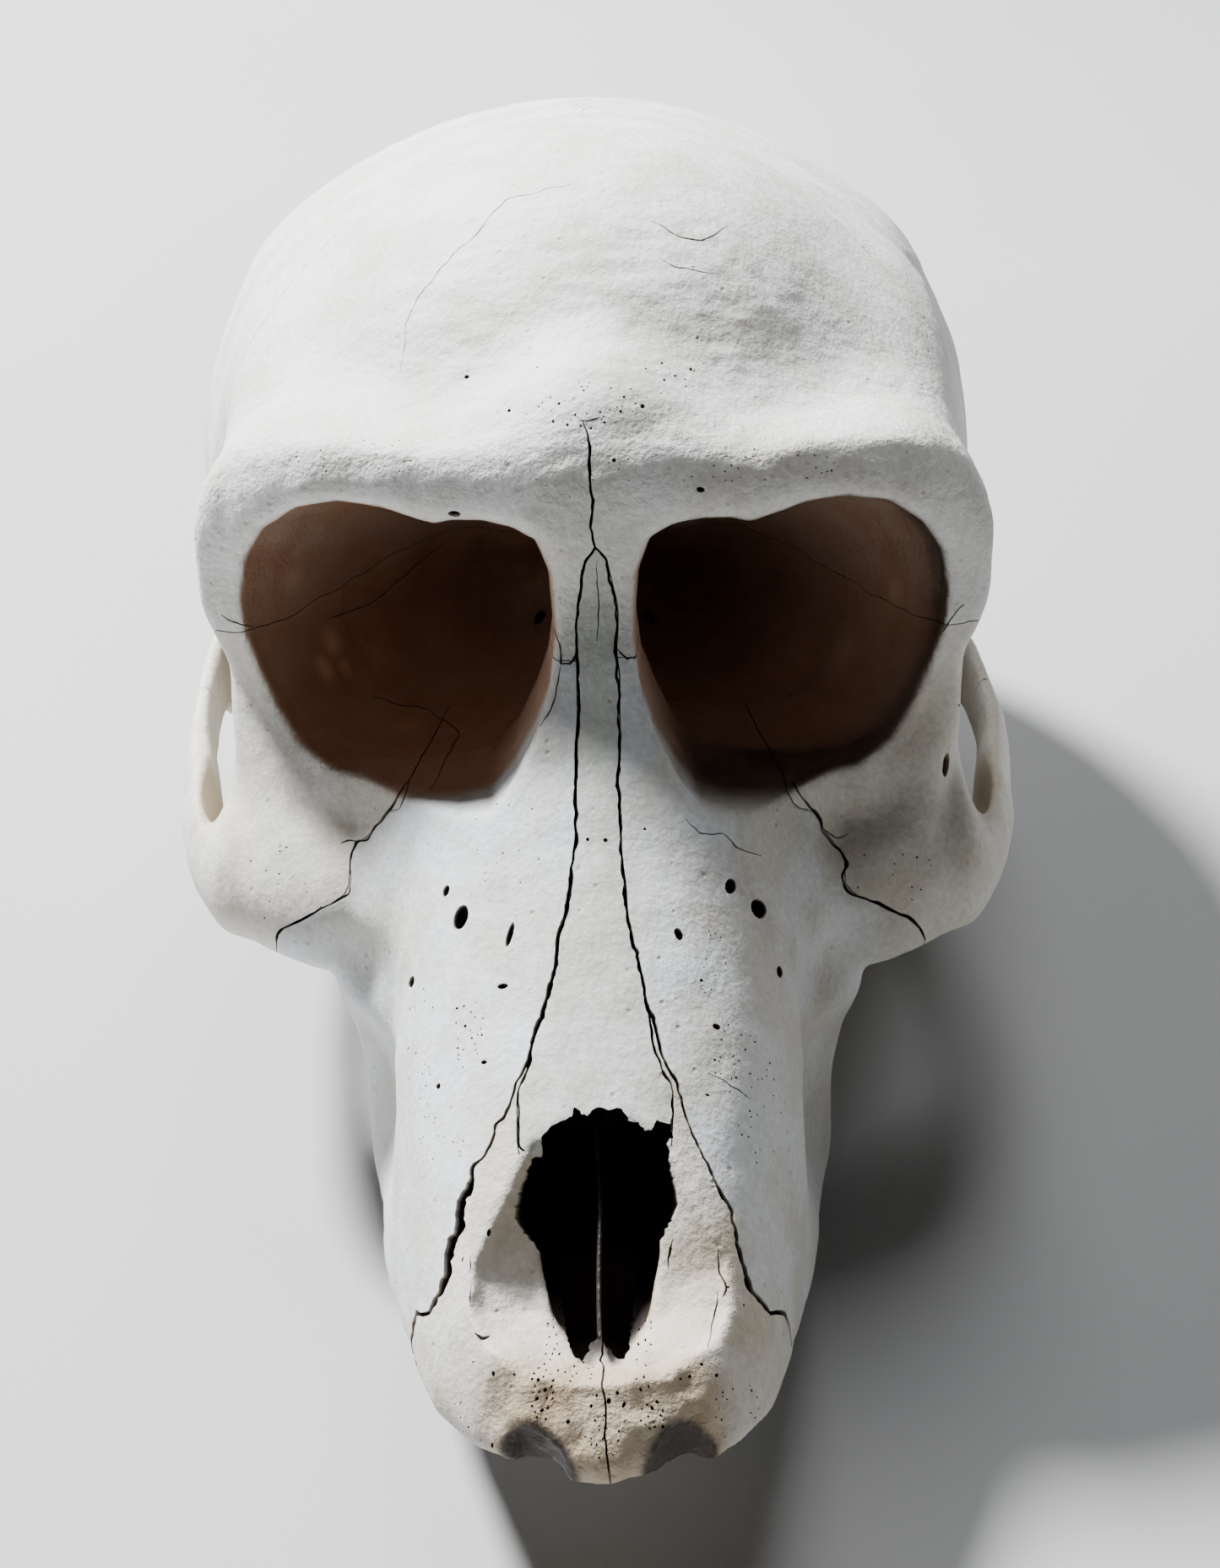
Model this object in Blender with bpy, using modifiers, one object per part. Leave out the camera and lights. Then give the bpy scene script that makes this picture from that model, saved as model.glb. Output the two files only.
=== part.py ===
# Cranium of a young baboon, without its lower jaw, lying on its cheek teeth and occipital condyles.
# The bone is shaped as one distance field in millimetres, in the skull's own frame: X to its left side,
# Y towards its back, Z up, origin midway between the lower rims of the orbits. Only x >= 0 is worked out
# and mirrored. The solid is then parted into its bones by thin cuts along the sutures.

import math

import bmesh
import bpy
import numpy as np
import openvdb
from mathutils import Matrix, Vector

mm = 0.001

# Driving sizes, in millimetres

braincaseHalfWidth = 36.8
braincaseHalfLength = 45.0
braincaseHalfHeight = 32.6
braincaseMiddle = (0.0, 55.0, 18.0)
frontalHalfWidth = 27.6
orbitMiddle = (15.6, 4.0, 12.2)
orbitApex = (5.8, 37.0, 8.2)
snoutSlope = math.radians(43.1)
rhinion = (31.0, -13.6)
archHalfWidth = 35.1
palateBottom = -37.0
sutureGap = 0.3
restFlat = 0.35
fieldStep = 1.2
targetTriangles = 6600

# Cheek teeth, front to back: name, middle forward of the origin, length, width, number of ridges

toothRow = (
    ("dp3", 20.3, 6.4, 5.4, 2),
    ("dp4", 12.9, 7.6, 6.6, 2),
    ("m1", 3.6, 10.0, 7.8, 2),
)
toothTipHeight = -38.3
toothCrownHeight = -36.8
toothRootHeight = -31.0
toothEdge = 0.5
jawLine = ((-10, 2, 14, 24), (13.8, 13.9, 13.3, 12.5))

boneColours = {
    "vault": (0.78, 0.77, 0.75, 1.0),
    "face": (0.74, 0.74, 0.75, 1.0),
    "base": (0.66, 0.61, 0.54, 1.0),
    "arch": (0.74, 0.70, 0.63, 1.0),
    "nasal": (0.66, 0.69, 0.67, 1.0),
    "tip": (0.58, 0.50, 0.40, 1.0),
}
boneRoughness = 0.62


# Distance fields

def smoothMin(a, b, blend):
    near = np.maximum(blend - np.abs(a - b), 0.0) / blend
    return np.minimum(a, b) - near * near * blend * 0.25


def smoothMax(a, b, blend):
    return -smoothMin(-a, -b, blend)


def ellipsoid(p, middle, radii):
    q = [(p[i] - middle[i]) / radii[i] for i in range(3)]
    reach = np.sqrt(q[0] ** 2 + q[1] ** 2 + q[2] ** 2) + 1e-6
    slope = np.sqrt(sum((q[i] / radii[i]) ** 2 for i in range(3))) + 1e-9
    return reach * (reach - 1.0) / slope


def curvePoints(points, steps):
    rows = np.array(points, float)
    rows = np.vstack([2 * rows[0] - rows[1], rows, 2 * rows[-1] - rows[-2]])
    found = []
    for a, b, c, d in zip(rows, rows[1:], rows[2:], rows[3:]):
        for t in np.arange(steps) / steps:
            bend = (2 * a - 5 * b + 4 * c - d) * t + (3 * b - a - 3 * c + d) * t * t
            found.append(b + 0.5 * t * (c - a + bend))
    found.append(rows[-2])
    return np.array(found)


# A round bar through (x, y, z, radius) points; squeeze over 1 flattens it along that axis
def bar(p, points, squeeze=(1, 1, 1)):
    rows = curvePoints(points, 3)
    rows[:, :3] *= squeeze
    q = [p[i] * squeeze[i] for i in range(3)]
    nearest = None
    for a, b in zip(rows, rows[1:]):
        run = b[:3] - a[:3]
        off = [q[i] - a[i] for i in range(3)]
        along = np.clip(sum(off[i] * run[i] for i in range(3)) / (run @ run), 0, 1)
        away = np.sqrt(sum((off[i] - along * run[i]) ** 2 for i in range(3)))
        away = away - a[3] - (b[3] - a[3]) * along
        nearest = away if nearest is None else np.minimum(nearest, away)
    return nearest / max(squeeze)


# Signed distance to a closed outline in the plane, negative inside
def outline(u, v, corners):
    corners = np.array(corners, float)
    best = np.full(np.broadcast(u, v).shape, 1e9)
    side = np.ones(best.shape)
    for a, b in zip(corners, np.roll(corners, 1, axis=0)):
        ex, ey = b - a
        wx, wy = u - a[0], v - a[1]
        along = np.clip((wx * ex + wy * ey) / (ex * ex + ey * ey), 0, 1)
        best = np.minimum(best, (wx - ex * along) ** 2 + (wy - ey * along) ** 2)
        above = v >= a[1]
        below = v < b[1]
        left = ex * wy > ey * wx
        side = np.where((above & below & left) | (~above & ~below & ~left), -side, side)
    return side * np.sqrt(best)


def mirrored(half):
    return half + [(-u, v) for u, v in half[::-1] if u > 0]


# Braincase: vault, frontal, flat base, nuchal plane and the hollows behind the orbits

nuchalCrest = [
    (0, 94.6, 9, 0.9), (14, 91.5, 10, 0.9), (25, 83.5, 7, 0.9), (31.2, 72, 2, 0.9), (32, 63, -4, 1.2),
]


def braincase(p):
    x, y, z = p
    halfSizes = (braincaseHalfWidth, braincaseHalfLength, braincaseHalfHeight)
    d = ellipsoid(p, braincaseMiddle, halfSizes)
    d = smoothMin(d, ellipsoid(p, (0, 23, 18), (frontalHalfWidth, 26.5, 30.2)), 14)
    d = smoothMin(d, ellipsoid(p, (0, 68, 9), (33.5, 31, 26)), 10)
    d = smoothMin(d, ellipsoid(p, (0, 48, -2), (26, 36, 18)), 8)
    d = smoothMax(d, -15.5 - z, 8)
    nuchalPlane = 0.79 * (y - 95) - 0.61 * (z - 6)
    d = smoothMax(d, nuchalPlane, 10)
    d = smoothMax(d, -ellipsoid(p, (45, 21, 2), (20, 17, 27)), 9)
    d = smoothMin(d, ellipsoid(p, (0, 22, 3), (17, 20, 17)), 6)
    return smoothMin(d, bar(p, nuchalCrest), 9)


# Orbits: a cone-shaped cavity behind a rounded outline, its thin wall and its raised rim

orbitOutline = [
    (3.3, 14.9), (3.7, 19.8), (4.9, 22.2), (7.4, 23.3), (12.5, 23.7), (18.5, 24.0), (22.4, 22.8),
    (25.6, 20.2), (27.6, 16.4), (27.8, 11.8), (27.2, 8.2), (26.0, 4.4), (23.8, 1.2), (20.8, -0.8),
    (17.0, -1.5), (13.4, -1.2), (9.6, 0.3), (6.7, 2.8), (4.7, 6.0), (3.6, 9.8),
]
orbitTaper = ((-0.4, 0, 0.08, 0.25, 0.45, 0.7, 0.9, 1.02), (1.03, 1, 1.01, 0.95, 0.8, 0.55, 0.28, 0.05))
orbitWall = 0.9
brow = [
    (0, -3.2, 27, 2.4), (6, -3.6, 27, 2.4), (13, -2.8, 27, 2.3), (19.5, -0.8, 26.4, 1.9),
    (23.6, 2.2, 23.8, 1.5), (25.6, 5.2, 20.2, 1.0), (26.4, 7.2, 15.6, 0.8),
]
lowerRim = [
    (26.8, 6.8, 18, 0.9), (27.2, 7.8, 12, 0.9), (27.0, 7.2, 6.2, 1.3), (26.0, 5.6, 0.4, 2.2),
    (23.2, 3, -4, 2.8), (18, 0.4, -5.8, 2.8), (12.6, -1.6, -4.4, 2.4), (8.2, -3.2, -0.6, 1.6),
    (4.6, -4.2, 4.6, 0.9), (2.6, -4.4, 12, 0.8),
]


def orbitCavity(p):
    x, y, z = p
    depth = (y - orbitMiddle[1]) / (orbitApex[1] - orbitMiddle[1])
    along = np.clip(depth, 0, 1)
    middleX = orbitMiddle[0] + (orbitApex[0] - orbitMiddle[0]) * along
    middleZ = orbitMiddle[2] + (orbitApex[2] - orbitMiddle[2]) * along
    scale = np.interp(depth, *orbitTaper)
    u = (x - middleX) / scale + orbitMiddle[0]
    v = (z - middleZ) / scale + orbitMiddle[2]
    d = outline(u, v, orbitOutline) * scale
    return smoothMax(d, y - orbitApex[1] - 1, 4) * 0.9


def orbitRims(p, cavity, d):
    x, y, z = p
    rimPlane = np.interp(x, [0, 4, 10, 16, 22, 26, 28.5], [-2.8, -2.6, -1.7, -0.4, 1.8, 5.0, 7.4]) - y
    d = smoothMin(d, smoothMax(cavity - orbitWall, rimPlane * 0.9, 1.2), 3)
    d = smoothMin(d, bar(p, [(0, -0.2, 30, 4), (0, -1.4, 23, 3.2), (0, -2.4, 16, 2.4)]), 6)
    d = smoothMin(d, bar(p, brow), 9)
    return smoothMin(d, bar(p, lowerRim), 3.4)


# Cheek bones and zygomatic arches

cheekBody = [
    (17, -1.4, -10.4, 4.2), (22, 0.8, -10.2, 4.3), (26.4, 4, -9.2, 4.4), (29.4, 8.2, -8, 4.2),
    (31.4, 13, -6.8, 3.4),
]
cheekPillar = [(27.2, 9, 6, 1), (27.8, 10, 0, 1.8), (28.6, 10, -5, 2.6)]
cheekArch = [
    (30, 8.4, -8, 5), (33, 15.5, -6.2, 4.5), (34.8, 24, -4.2, 3.7), (archHalfWidth, 32, -2.2, 3.3),
    (34.6, 40, -0.2, 3.5), (32.8, 48, 1.6, 4), (31.6, 58, 2.6, 3.4),
]


def cheeks(p, d):
    d = smoothMin(d, bar(p, cheekBody), 6)
    d = smoothMin(d, bar(p, cheekPillar), 4)
    return smoothMin(d, bar(p, cheekArch, (2.3, 1, 1)), 2.5)


# Ear region, jaw joint, condyles and the middle of the base

def skullBase(p, d):
    d = smoothMin(d, ellipsoid(p, (25, 46, -3.4), (8.5, 7, 3.4)), 5)
    d = smoothMin(d, ellipsoid(p, (28.5, 66, -6), (5.5, 8, 9)), 6)
    d = smoothMin(d, bar(p, [(22, 55.5, -8, 4.2), (30.5, 57, -3.4, 3.9)]), 3)
    d = smoothMin(d, bar(p, [(12, 40, -14, 2.4), (15.5, 46, -14.2, 4.2), (19.5, 53, -12.5, 4.4)]), 3)
    d = smoothMin(d, bar(p, [(7.2, 57, -18.2, 2.2), (8.6, 62, -18.6, 3), (9.8, 67, -17, 2.6)]), 3)
    middle = [(0, 58, -14.5, 3.2), (0, 40, -12.5, 3.4), (0, 26, -10.5, 4)]
    return smoothMin(d, bar(p, middle, (0.6, 1, 1)), 5)


# Pterygoid plates, two each side, from the back of the palate up to the base

def pterygoids(p, d):
    outer = bar(p, [(11.4, 13, -26, 4), (13.2, 17, -19, 4.6), (14.6, 22, -11, 5.4)], (3, 0.9, 1))
    inner = bar(p, [(8.6, 13, -26, 3.2), (7.8, 16.5, -19, 3.6), (7.2, 21, -11, 4.4)], (3, 0.9, 1))
    return smoothMin(d, smoothMin(outer, inner, 1.5), 2)


# Muzzle: dorsal profile from the nasion to the incisor margin, tapering sides and a hollow palate

dorsalProfile = [
    (-30, 24), (-8, 23.5), (0, 22.4), (3.6, 20.6), (6.2, 15.4), (8.6, 11.2), (11.8, 6.6), (16, 1.6),
    (20.6, -3.2), (25.6, -8.2), (31, -13.4), (35.5, -17.8), (40.5, -22.4), (44, -26.2), (46.6, -30),
    (47.4, -33), (46, -37.5), (42, -60), (-60, -60), (-60, 24),
]
fossaOutline = [(5.2, 1.4), (6.6, 5.6), (8, 7.4), (8.9, 9.5), (8.9, 12.7), (7.8, 15), (4.6, 17.4), (0, 18.4)]
fossaDepth = 1.5
muzzleHalfWidths = (
    (-16, -10, 2, 14, 22, 29, 33, 38, 42, 45, 47.5),
    (15.5, 18.4, 18.8, 17.6, 16.5, 15.2, 14.6, 12.8, 10.2, 6.8, 2.4),
)
jawMargin = ((-16, -8, 10, 30, 48), (-30.5, -32.2, -33.4, -33.4, -32.8))
palateHalfWidths = ((-20, -10, 2, 14, 22, 30, 36, 40), (11, 11.4, 11.6, 11.2, 10.2, 8, 5, 1.5))


# Places along the snout's slope (run) and out of it (rise), from the tip of the nasal bones
def alongSnout(forward, z):
    cosine, sine = math.cos(snoutSlope), math.sin(snoutSlope)
    f, h = forward - rhinion[0], z - rhinion[1]
    return f * cosine - h * sine, f * sine + h * cosine


def palate(p):
    x, y, z = p
    halfWidth = np.interp(-y, *palateHalfWidths)
    d = np.sqrt(x * x + ((z - palateBottom) * 1.3) ** 2) - halfWidth
    return smoothMax(d, -y - 38, 4) * 0.6


def muzzle(p):
    x, y, z = p
    forward = -y
    run = alongSnout(forward, z)[0]
    hollow = np.clip(-outline(x, run, mirrored(fossaOutline)) / 3.4, 0, 1)
    top = outline(forward, z, dorsalProfile) + 0.024 * x * x + 0.00007 * x ** 4
    top = top + fossaDepth * hollow * hollow * (3 - 2 * hollow)
    halfWidth = np.interp(forward, *muzzleHalfWidths)
    side = (x - halfWidth + 0.07 * np.clip(z + 30, 0, 30)) * 0.9
    margin = np.interp(forward, *jawMargin) - z
    rear = -13.5 - forward + 0.25 * (z + 20)
    d = smoothMax(top, side, 5)
    d = smoothMax(d, margin, 2.5)
    d = smoothMax(d, rear, 4)
    d = smoothMax(d, z - 14, 3)
    d = smoothMax(d, -ellipsoid(p, (24.5, -12, -22), (9, 14, 12)), 5)
    return smoothMax(d, -palate(p), 2)


# Nose opening and the chamber behind it

noseOutline = [
    (0, -1), (2.6, -0.9), (4.2, 0.3), (5.1, 1.6), (5.9, 3.6), (6.1, 5.6), (4.9, 8), (4, 9.9),
    (3.2, 13), (2.1, 16.1), (1.4, 17), (0, 17.1),
]


noseDepths = ((0, 8, 13, 17), (8, 6.5, 4.5, 2.5))
chamberHalfWidths = ((4, 14, 24, 34, 42), (3, 5, 7, 6.6, 2.6))
chamberRoof = ((3.6, 11.8, 20.6, 31, 44.4), (8, 1.6, -7, -16.2, -29))
chamberFloor = ((-10, 10, 30, 36, 42), (-22.5, -23.5, -25.6, -26, -25.4))


def noseCavity(p):
    x, y, z = p
    forward = -y
    run, rise = alongSnout(forward, z)
    depth = np.interp(run, *noseDepths)
    opening = smoothMax(outline(x, run, mirrored(noseOutline)) + 0.1 * rise, -depth - rise, 2)
    halfWidth = np.interp(forward, *chamberHalfWidths)
    roof = np.interp(forward, *chamberRoof)
    floor = np.interp(forward, *chamberFloor)
    chamber = smoothMax(smoothMax(x - halfWidth, z - roof, 2), floor - z, 3)
    chamber = smoothMax(chamber, np.maximum(6 - forward, forward - 42.5), 3)
    return smoothMin(opening, chamber, 1) * 0.9


# Sockets of the lost incisors and canines

def emptySockets(p):
    sockets = (
        ((4.1, -45.6, -34.2), (2.35, 3.2, 5.2)),
        ((8.8, -39.4, -37.0), (1.6, 2.0, 5.0)),
        ((12.0, -29.4, -38.0), (2.1, 2.9, 6.4)),
    )
    d = ellipsoid(p, *sockets[0])
    for middle, radii in sockets[1:]:
        d = np.minimum(d, ellipsoid(p, middle, radii))
    return d


# The whole skull

def skullField(p):
    cavity = orbitCavity(p)
    d = orbitRims(p, cavity, braincase(p))
    d = cheeks(p, d)
    d = skullBase(p, d)
    d = smoothMin(d, muzzle(p), 6)
    d = pterygoids(p, d)
    openings = (
        (cavity, 1.0),
        (noseCavity(p), 0.8),
        (smoothMax(ellipsoid(p, (0, 12, -20.5), (6.6, 15, 7.2)), 0.6 - p[0], 0.8), 1.0),
        (ellipsoid(p, (0, 68.5, -19), (7, 8.6, 10)), 1.5),
        (bar(p, [(24, 56, -7, 1.6), (36, 57.8, -2, 2.5)]), 0.8),
        (emptySockets(p), 0.8),
    )
    for opening, blend in openings:
        d = smoothMax(d, -opening, blend)
    return d


# Meshing and modelling helpers

def newObject(name, mesh, collection):
    thing = bpy.data.objects.new(name, mesh)
    collection.objects.link(thing)
    return thing


def meshField(name, collection):
    h = fieldStep
    xs = np.arange(h / 2, 41, h)
    ys = np.arange(-50, 103, h)
    zs = np.arange(-42, 56, h)
    half = skullField(np.meshgrid(xs, ys, zs, indexing="ij"))
    whole = np.concatenate([half[::-1], half], axis=0)
    volume = openvdb.FloatGrid(3 * h)
    volume.copyFromArray(np.clip(whole, -3 * h, 3 * h).astype(np.float32))
    points, quads = volume.convertToQuads(0.0)[:2]
    corner = np.array([-(len(xs) - 0.5) * h, ys[0], zs[0]])
    points = (np.array(points, float) * h + corner) * mm
    mesh = bpy.data.meshes.new(name)
    mesh.from_pydata(points.tolist(), [], np.array(quads)[:, ::-1].tolist())
    mesh.validate()
    return newObject(name, mesh, collection)


def moveTo(thing, collection):
    for old in thing.users_collection:
        old.objects.unlink(thing)
    collection.objects.link(thing)


def evaluatedMesh(thing):
    bpy.context.view_layer.update()
    graph = bpy.context.evaluated_depsgraph_get()
    return bpy.data.meshes.new_from_object(thing.evaluated_get(graph))


def applyModifiers(thing):
    mesh = evaluatedMesh(thing)
    thing.modifiers.clear()
    thing.data = mesh


def simplify(thing):
    triangles = sum(len(face.vertices) - 2 for face in thing.data.polygons)
    fewer = thing.modifiers.new("fewer", "DECIMATE")
    fewer.ratio = targetTriangles / triangles
    fewer.use_symmetry = True
    fewer.symmetry_axis = "X"
    applyModifiers(thing)


# Cheek teeth: a crown that narrows to its tip with ridges across it, its root sunk in the jaw

def addToothBlock(name, middle, size, taper, collection):
    bpy.ops.mesh.primitive_cube_add(size=1)
    block = bpy.context.object
    block.name = name
    for vertex in block.data.vertices:
        if vertex.co.z < 0:
            vertex.co.x *= taper
            vertex.co.y *= taper
    block.data.transform(Matrix.LocRotScale(Vector(middle) * mm, None, Vector(size) * mm))
    soft = block.modifiers.new("round", "BEVEL")
    soft.width = toothEdge * mm
    soft.segments = 2
    applyModifiers(block)
    moveTo(block, collection)


def addTeeth(collection):
    for side in (-1, 1):
        for name, forward, length, width, ridges in toothRow:
            x = side * float(np.interp(forward, jawLine[0], jawLine[1]))
            label = f"tooth_{name}_{side}"
            height = toothRootHeight - toothCrownHeight
            middle = (x, -forward, toothRootHeight - height / 2)
            addToothBlock(label, middle, (width, length, height), 0.9, collection)
            pitch = length / ridges
            for ridge in range(ridges):
                y = -forward + (ridge - (ridges - 1) / 2) * pitch
                depth = toothCrownHeight - toothTipHeight + 1
                size = (width * 0.86, pitch * 0.78, depth)
                addToothBlock(f"{label}_{ridge}", (x, y, toothTipHeight + depth / 2), size, 0.62, collection)


def markCutter(thing):
    thing.hide_render = True
    thing.display_type = "WIRE"


def keepLargestShell(thing):
    removeFaces(thing.data, max(looseShells(thing.data), key=len))


def looseShells(mesh):
    grid = bmesh.new()
    grid.from_mesh(mesh)
    unseen = set(grid.verts)
    shells = []
    while unseen:
        shell = [unseen.pop()]
        for vertex in shell:
            for edge in vertex.link_edges:
                other = edge.other_vert(vertex)
                if other in unseen:
                    unseen.remove(other)
                    shell.append(other)
        shells.append(sorted(vertex.index for vertex in shell))
    grid.free()
    return sorted(shells, key=lambda shell: shell[0])


def removeFaces(mesh, kept):
    kept = set(kept)
    grid = bmesh.new()
    grid.from_mesh(mesh)
    gone = [vertex for vertex in grid.verts if vertex.index not in kept]
    bmesh.ops.delete(grid, geom=gone, context="VERTS")
    grid.to_mesh(mesh)
    grid.free()


def fuse(thing, collection):
    join = thing.modifiers.new("teeth", "BOOLEAN")
    join.operation = "UNION"
    join.operand_type = "COLLECTION"
    join.collection = collection
    applyModifiers(thing)
    keepLargestShell(thing)


# Floor: the tilt at which the last teeth and the condyles stand level, and a small flat on each

slabWidth, slabLength, slabHeight = 400, 500, 20


def restingTilt(points):
    teeth = points[(points[:, 2] < toothTipHeight + 1) & (points[:, 1] < 10)]
    condyles = points[points[:, 1] > 50]
    low, high = 0.0, math.radians(30)
    while high - low > 1e-6:
        tilt = (low + high) / 2
        lowest = [np.min(q[:, 2] * math.cos(tilt) - q[:, 1] * math.sin(tilt)) for q in (teeth, condyles)]
        if lowest[0] < lowest[1]:
            low = tilt
        else:
            high = tilt
    return tilt


def flattenRests(thing, cutters):
    points = np.array([vertex.co for vertex in thing.data.vertices]) / mm
    tilt = restingTilt(points)
    turned = points[:, 2] * math.cos(tilt) - points[:, 1] * math.sin(tilt)
    floor = float(turned.min()) + restFlat
    bpy.ops.mesh.primitive_cube_add(size=1)
    slab = bpy.context.object
    slab.name = "floor_slab"
    place = Matrix.Translation((0, 0, (floor - slabHeight / 2) * mm))
    size = Matrix.Diagonal((slabWidth * mm, slabLength * mm, slabHeight * mm, 1))
    slab.data.transform(Matrix.Rotation(tilt, 4, "X") @ place @ size)
    moveTo(slab, cutters)
    markCutter(slab)
    cut = thing.modifiers.new("rests", "BOOLEAN")
    cut.operation = "DIFFERENCE"
    cut.object = slab
    applyModifiers(thing)
    return tilt, floor


# Sutures: thin curved sheets, each a grid of rows with a thickness of its own

# From the nasion back to the lambdoid suture: what lies above is frontal or parietal, as (y, z)
levelProfile = (
    (-14, 27), (-6.9, 21.4), (0, 16.4), (7.6, 12.4), (12, 12.2), (20, 13.5), (31, 17.5), (45, 19),
    (58, 15), (70, 7), (77, 2.5),
)
overshoot = 0.8


def levelOf(y):
    return float(np.interp(y, *zip(*levelProfile)))


def aboveLevel(x, y):
    return levelOf(y) + overshoot


def coronalDepth(x):
    return 37 - 15 * (abs(x) / 26) ** 1.5


def sheet(name, rows, cutters):
    columns = len(rows[0])
    points = [Vector(point) * mm for row in rows for point in row]
    faces = []
    for i in range(len(rows) - 1):
        for j in range(columns - 1):
            a = i * columns + j
            faces.append((a, a + 1, a + columns + 1, a + columns))
    mesh = bpy.data.meshes.new(name)
    mesh.from_pydata(points, [], faces)
    thing = newObject(name, mesh, cutters)
    thicken(thing)
    return thing


def plate(name, corners, collection):
    mesh = bpy.data.meshes.new(name)
    mesh.from_pydata([Vector((0, y, z)) * mm for y, z in corners], [], [range(len(corners))])
    thing = newObject(name, mesh, collection)
    thicken(thing)
    return thing


def thicken(thing):
    solid = thing.modifiers.new("gap", "SOLIDIFY")
    solid.thickness = sutureGap * mm
    solid.offset = 0
    solid.use_even_offset = True
    markCutter(thing)


def upright(plan, bottom, top):
    return [[(x, y, bottom) for x, y in plan], [(x, y, top(x, y)) for x, y in plan]]


def addSutures(cutters):
    reach = 45
    level = [[(side * reach, y, z) for y, z in levelProfile] for side in (-1, 1)]
    sheet("suture_level", level, cutters)

    spread = np.linspace(-40, 40, 21)
    arc = [(x, coronalDepth(x)) for x in spread]
    low = [(x, y, levelOf(y) - overshoot) for x, y in arc]
    sheet("suture_coronal", [low, [(x, y, 60) for x, y in arc]], cutters)

    back = [(76.2, 1.2), (80, 18), (86, 34), (92, 50), (95, 58)]
    sheet("suture_lambdoid", [[(side * reach, y, z) for y, z in back] for side in (-1, 1)], cutters)
    under = [(y, levelOf(y) - overshoot) for y in (36.8, 45, 58, 70)]
    plate("suture_sagittal", under + back + [(36.8, 58)], cutters)

    half = [(6, 41.5), (9, 46), (12.5, 56), (14, 64), (20, 71), (30, 74.5), (reach, 76.5)]
    wall = [(-x, y) for x, y in half[::-1]] + [(0, 41)] + half
    sheet("suture_basal", upright(wall, -30, aboveLevel), cutters)

    across = [(-30.4, 18), (30.4, 18)]
    sheet("suture_palate_back", upright(across, -42, aboveLevel), cutters)
    for side in (-1, 1):
        tag = "l" if side > 0 else "r"
        wing = [(side * x, y) for x, y in ((8.1, 45.6), (14, 38), (22, 34), (30, 31), (42, 30))]
        sheet("suture_wing_" + tag, upright(wing, -30, aboveLevel), cutters)
        cheek = [(12, 8), (15.5, 0.3), (18, -3.5), (20, -7), (25, -10.5), (26.5, -14), (27, -20)]
        sheet("suture_cheek_" + tag, [[(side * x, y, z) for x, z in cheek] for y in (-14, 18.4)], cutters)
        front = [
            (0, 26, -16), (4.2, 26, -16), (4.5, 26.2, -4), (6.6, 30, -8), (7.9, 30.6, -10), (9.1, 31.4, -12),
            (9.8, 34.1, -14), (11.6, 34.2, -18), (13.4, 30.4, -18), (20, 25, -18),
        ]
        rows = [[(side * x, -f, -42) for x, f, top in front], [(side * x, -f, top) for x, f, top in front]]
        sheet("suture_premaxilla_" + tag, rows, cutters)
    trayRows = nasalTrayRows()
    sheet("suture_nasal", trayRows, cutters)
    addMidline(trayRows, cutters)


# Nasal bones: places along the bridge as (forward, z, half width), and how thick the bones are
nasalStations = [
    (7.4, 15, 1.2), (11.7, 6.7, 1.5), (16.1, 1.5, 1.7), (22.7, -5.4, 3.2), (25.8, -8.4, 4.5),
    (28.6, -11.1, 5.3), (34, -16, 5.3),
]
nasionHalfWidth = 0.9
nasalDepth = 2.8
nasalClear = 4.0


def nasalTrayRows():
    cosine, sine = math.cos(snoutSlope), math.sin(snoutSlope)
    ends = ((-13, -1), (-3.4, -1), (-3.4, 1), (-13, 1))
    rows = [[(side * nasionHalfWidth, y, levelOf(y)) for y, side in ends]]
    for forward, z, halfWidth in nasalStations:
        left = [(-halfWidth, nasalClear), (-halfWidth, -nasalDepth)]
        right = [(halfWidth, -nasalDepth), (halfWidth, nasalClear)]
        rows.append([(x, -forward - rise * sine, z + rise * cosine) for x, rise in left + right])
    return rows


def addMidline(trayRows, cutters):
    under = [row[1][1:] for row in trayRows[:-1]]
    corners = [(y, levelOf(y) + overshoot) for y in (18.4, 12, 7.6, 0)] + under
    corners += [(-30.5, -17), (-34, -10), (-52, -20), (-52, -42), (18.4, -42)]
    plate("suture_midline", corners, cutters)


# Bones: name, a place near each one's middle in the skull's frame, and its colour

bones = (
    ("frontal", (0, 11.5, 24.9), "vault"),
    ("parietal_l", (21.5, 54.7, 28.9), "vault"),
    ("parietal_r", (-21.5, 54.7, 28.9), "vault"),
    ("occipital", (0, 74.9, 0.9), "vault"),
    ("temporal_l", (27.8, 50.9, -4.6), "arch"),
    ("temporal_r", (-27.8, 50.9, -4.6), "arch"),
    ("sphenoid", (0, 25.3, -3.2), "base"),
    ("zygomatic_l", (26.8, 11.5, -1.1), "arch"),
    ("zygomatic_r", (-26.8, 11.5, -1.1), "arch"),
    ("maxilla_l", (10, -2.5, -17.4), "face"),
    ("maxilla_r", (-10, -2.5, -17.4), "face"),
    ("premaxilla_l", (6.2, -33.7, -23.9), "tip"),
    ("premaxilla_r", (-6.2, -33.7, -23.9), "tip"),
    ("nasal", (0, -22, -5), "nasal"),
)


def makeMaterial(name):
    material = bpy.data.materials.new(name)
    material.use_nodes = True
    shader = material.node_tree.nodes["Principled BSDF"]
    shader.inputs["Base Color"].default_value = boneColours[name]
    shader.inputs["Roughness"].default_value = boneRoughness
    material.diffuse_color = boneColours[name]
    return material


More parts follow.
